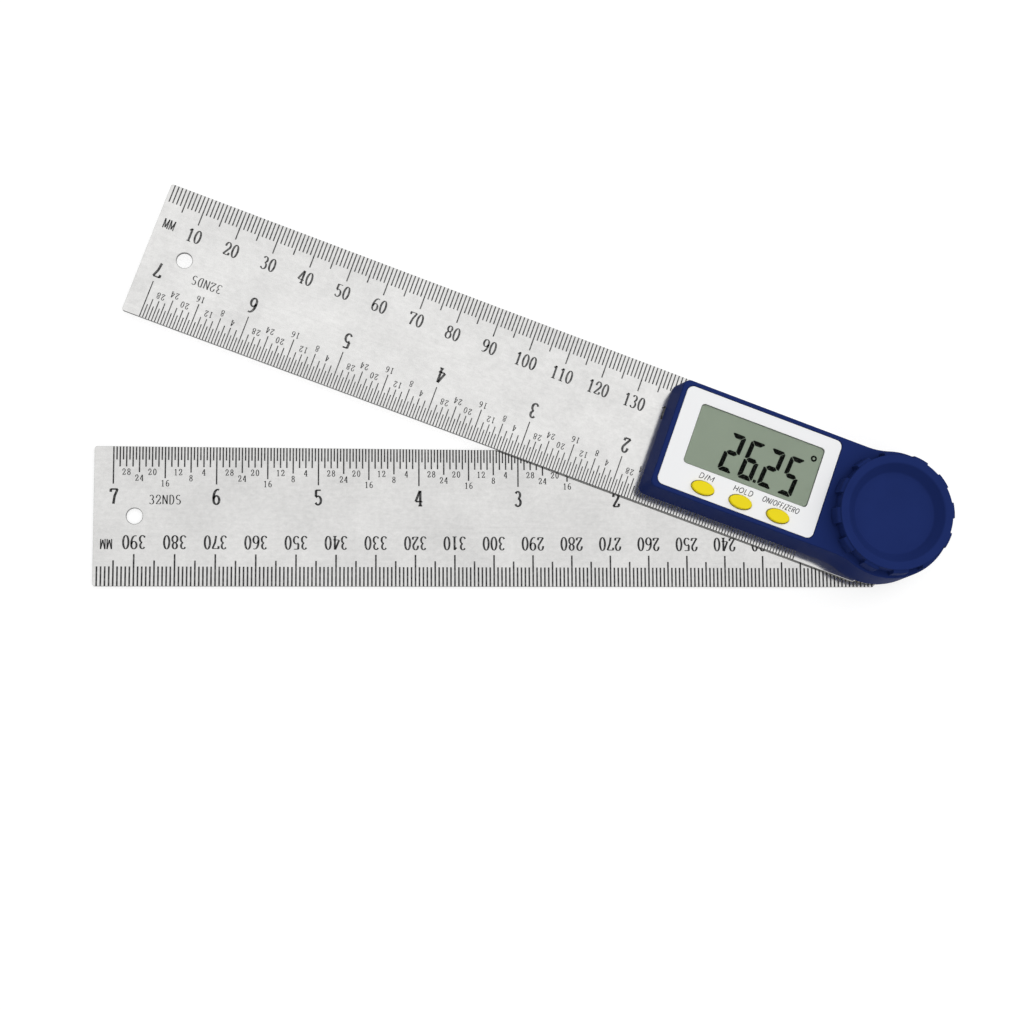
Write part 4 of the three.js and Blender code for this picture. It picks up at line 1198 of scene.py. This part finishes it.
class FINDER_OT_battery_cap(bpy.types.Operator):
    """Mould the bayonet cap of the battery with its coin slot"""
    bl_idname = "angle_finder.battery_cap"
    bl_label = "Battery cap"

    def execute(self, context):
        low, disc_top = DISPLAY_BOTTOM, reach("coin_cell")[0].z
        rim_top = reach("battery_cap")[1].z
        disc = [(0, low), (CAP_RADIUS, low), (CAP_RADIUS, rim_top), (CAP_BORE, rim_top), (CAP_BORE, disc_top),
                (0, disc_top)]
        lug_height, lug_drop, lug_corner, lug_start, lug_end = 0.8, 0.02, 0.3, CAP_BORE + 0.1, LUG_RADIUS + 2
        lug_bottom, lug_top = rim_top - lug_height, rim_top - lug_drop
        lugs = []
        for number in range(LUGS):
            lug = rounded_box(lug_start, lug_end, -LUG_HALF, LUG_HALF, lug_corner)
            lug = combine(prism(lug, lug_bottom, lug_top), [rod(LUG_RADIUS, lug_bottom, rim_top, facets=96)],
                          "INTERSECT")
            lugs.append(about_cell(lug, 360 / LUGS * number))
        slot_half, slot_width_half, slot_depth, slot_corner, slot_floor_edge = 7.5, 0.9, 0.8, 0.6, 0.15
        slot = rounded_box(-slot_half, slot_half, -slot_width_half, slot_width_half, slot_corner)
        slot = prism(shifted(slot, CELL_PLACE), low - OVERRUN, low + slot_depth, 0, slot_floor_edge)
        ring_inner, ring_outer, ring_depth, cap_edge = 9.6, 10.0, 0.12, 0.2
        ring_top = low + ring_depth
        ring = lathe([(ring_inner, low - OVERRUN), (ring_outer, low - OVERRUN), (ring_outer, ring_top),
                      (ring_inner, ring_top)], 128, CELL_PLACE)
        cap = combine(lathe(soften(disc, cap_edge), 128, CELL_PLACE), lugs, "UNION")
        piece("coin_slot_cap", combine(cap, [slot, ring]), "black_plastic", "battery_cap", "battery_cap")
        return {"FINISHED"}


class FINDER_OT_screws(bpy.types.Operator):
    """Turn the countersunk housing screws and the board screws, with their cross recesses"""
    bl_idname = "angle_finder.screws"
    bl_label = "Screws"

    def execute(self, context):
        kinds = {
            "housing": (4, SCREW_HEAD_RADIUS, SCREW_RADIUS, SCREW_HEAD_DEPTH, 0.6, 0.45),
            "board": (2, BOARD_SCREW_HEAD_RADIUS, BOARD_SCREW_RADIUS, BOARD_SCREW_HEAD_DEPTH, 0.35, 0.35)}
        pitch, thread, plain, turned_edge, tip_share = 0.45, 0.14, 0.35, 0.06, 0.8
        arm_share, arm_corner = 0.55, 0.1
        for kind, (count, head, shank, depth, recess, width) in kinds.items():
            low, high = (corner.z for corner in reach(f"{kind}_screw_1"))
            neck = low + depth
            outline = [(0, low), (head, low)] + ([(head, neck)] if kind == "board" else []) + [(shank, neck)]
            end, height = high - shank * tip_share, neck + plain
            while height + pitch < end:
                outline += [(shank, height), (shank - thread, height + pitch / 2)]
                height += pitch
            outline = soften(outline + [(shank, end), (0, high)], turned_edge, 2)
            arm, half = head * arm_share, width / 2
            for number, place in enumerate(screw_places(kind, count), 1):
                name = f"{kind}_screw_{number}"
                cross = []
                for x, y in ((arm, half), (half, arm)):
                    slot = shifted(rounded_box(-x, x, -y, y, arm_corner), place)
                    cross.append(prism(slot, low - OVERRUN, low + recess))
                turned = combine(lathe(outline, 48, place), cross)
                piece(f"{name}_turned", turned, "bright_steel", "display_arm", name)
        return {"FINISHED"}


class FINDER_OT_inner_parts(bpy.types.Operator):
    """Give the parts inside the housing their own finishes"""
    bl_idname = "angle_finder.inner_parts"
    bl_label = "Inner parts"

    def execute(self, context):
        finishes = {
            "bright_steel": ["rotor_clip", "pressure_washer", "coin_cell", "contact_negative",
                             "contact_positive"],
            "turned_brass": ["knob_insert"],
            "circuit_laminate": ["circuit_board", "encoder_rotor"],
            "black_plastic": ["battery_holder", "lcd_frame", "controller_chip",
                              *(f"switch_{name}" for name in KEYS)],
            "contact_rubber": ["zebra_strip"],
            "display_glass": ["lcd_glass"],
        }
        for finish, names in finishes.items():
            for name in names:
                mesh = frame["nodes"][name].data
                if not mesh.materials:
                    mesh.materials.append(None)
                mesh.materials[0] = finish_of(finish)
        return {"FINISHED"}


# The stage

FLOOR_GAP = 0.05  # keeps the floor off the rule that lies on it


def pale_floor(sizes):
    paper = Finish("floor_paper")
    tooth = paper.noise(3, detail=2.0)
    white = scaled((1, 1, 1), sizes.floor_white)
    surface = paper.principled(
        paper.mix(scaled(white, 0.995), white, tooth), Roughness=0.9, Specular_IOR_Level=0.0)
    camera_ray, glossy_ray, transmission_ray = paper.rays()
    lift = (camera_ray + glossy_ray + transmission_ray) * sizes.floor_lift
    glow = paper.node("Emission", {}, {"Color": (1, 1, 1, 1), "Strength": lift})
    floor_finish = paper.close(paper.node("AddShader", {}, {0: surface, 1: glow}))
    form = bmesh.new()
    bmesh.ops.create_grid(form, x_segments=8, y_segments=8, size=3)
    floor_mesh = bpy.data.meshes.new("pale_floor")
    form.to_mesh(floor_mesh)
    form.free()
    floor_mesh.materials.append(floor_finish)
    floor = bpy.data.objects.new("pale_floor", floor_mesh)
    floor.location.z = -FLOOR_GAP * MM
    bpy.context.scene.collection.objects.link(floor)


def soft_room(sizes):
    """White light, strong from overhead and weak from the sides; metal and glass see a plainer room."""
    scene = bpy.context.scene
    scene.world = scene.world or bpy.data.worlds.new("soft_room")
    room = Finish("soft_room", scene.world)
    direction = room.node("TexCoord", result="Generated")
    upward = room.node("SeparateXYZ", {}, {"Vector": direction}, result="Z")
    upward = upward.math("ABSOLUTE", upward)
    camera_ray, glossy_ray, transmission_ray = room.rays()
    soft = sizes.horizon + upward ** 2 * (sizes.sky - sizes.horizon)
    mirrored = room.node("MapRange", {}, {0: upward, 1: 0.0, 2: 0.8, 3: 0.3, 4: 1.0})
    scattered = room.node("LightPath", result="Diffuse Depth")
    direct = 1 - scattered.math("MINIMUM", scattered, 1)
    strength = soft.toward(mirrored, (glossy_ray + transmission_ray) * direct).toward(1, camera_ray)
    room.close(room.node("Background", {}, {"Color": (1, 1, 1, 1), "Strength": strength}), "OutputWorld")


def soft_key(sizes):
    lamp = bpy.data.lights.new("soft_key", "AREA")
    lamp.shape, lamp.size, lamp.energy = "DISK", 0.7, sizes.key_power
    key = bpy.data.objects.new("soft_key", lamp)
    key.location = (0.62, 0.54, 0.5)
    target = Vector((-0.08, 0.02, 0))
    key.rotation_euler = (target - key.location).to_track_quat("-Z", "Y").to_euler()
    bpy.context.scene.collection.objects.link(key)


def photo_camera():
    """The camera that was fitted to the graduations; it looks at the middles of the photograph's pixels."""
    scene = bpy.context.scene
    lens = bpy.data.cameras.new("camera")
    lens.lens, lens.sensor_width, lens.clip_start = 63.09, 36, 0.01
    lens.shift_x, lens.shift_y = -0.5 / PHOTO_PIXELS, 0.5 / PHOTO_PIXELS
    camera = bpy.data.objects.new("camera", lens)
    camera.location = (-0.151267, -0.049897, 0.44674)
    camera.rotation_euler = [math.radians(angle) for angle in (6.80425637, -6.89712539, -0.43629899)]
    scene.collection.objects.link(camera)
    scene.camera = camera


class FINDER_OT_stage(bpy.types.Operator):
    """Set up the pale floor, the soft light and the camera"""
    bl_idname = "angle_finder.stage"
    bl_label = "Stage"

    def execute(self, context):
        context.scene.view_settings.view_transform = "Standard"
        sizes = settings("finder_stage")
        pale_floor(sizes)
        soft_room(sizes)
        soft_key(sizes)
        photo_camera()
        return {"FINISHED"}


OPERATORS = (
    FINDER_OT_rules, FINDER_OT_graduations, FINDER_OT_pivot, FINDER_OT_housing, FINDER_OT_panel,
    FINDER_OT_display, FINDER_OT_keys, FINDER_OT_knob, FINDER_OT_battery_cap, FINDER_OT_screws,
    FINDER_OT_inner_parts, FINDER_OT_stage,
)


class FINDER_PT_panel(bpy.types.Panel):
    bl_label = "Angle finder"
    bl_idname = "FINDER_PT_panel"
    bl_space_type = "VIEW_3D"
    bl_region_type = "UI"
    bl_category = "Angle finder"

    def draw(self, context):
        for operator in OPERATORS:
            self.layout.operator(operator.bl_idname)
        for name in GROUPS:
            group = getattr(context.scene, name)
            column = self.layout.column(heading=name)
            for entry in group.bl_rna.properties:
                if entry.identifier not in ("rna_type", "name"):
                    column.prop(group, entry.identifier)


def register():
    for group in GROUPS.values():
        bpy.utils.register_class(group)
    for operator in OPERATORS:
        bpy.utils.register_class(operator)
    bpy.utils.register_class(FINDER_PT_panel)
    for name, group in GROUPS.items():
        setattr(bpy.types.Scene, name, PointerProperty(type=group))


def unregister():
    for name in GROUPS:
        delattr(bpy.types.Scene, name)
    for made in (FINDER_PT_panel, *OPERATORS, *GROUPS.values()):
        bpy.utils.unregister_class(made)


def main():
    register()
    for operator in OPERATORS:
        family, action = operator.bl_idname.split(".")
        getattr(getattr(bpy.ops, family), action)()


if __name__ == "__main__":
    main()
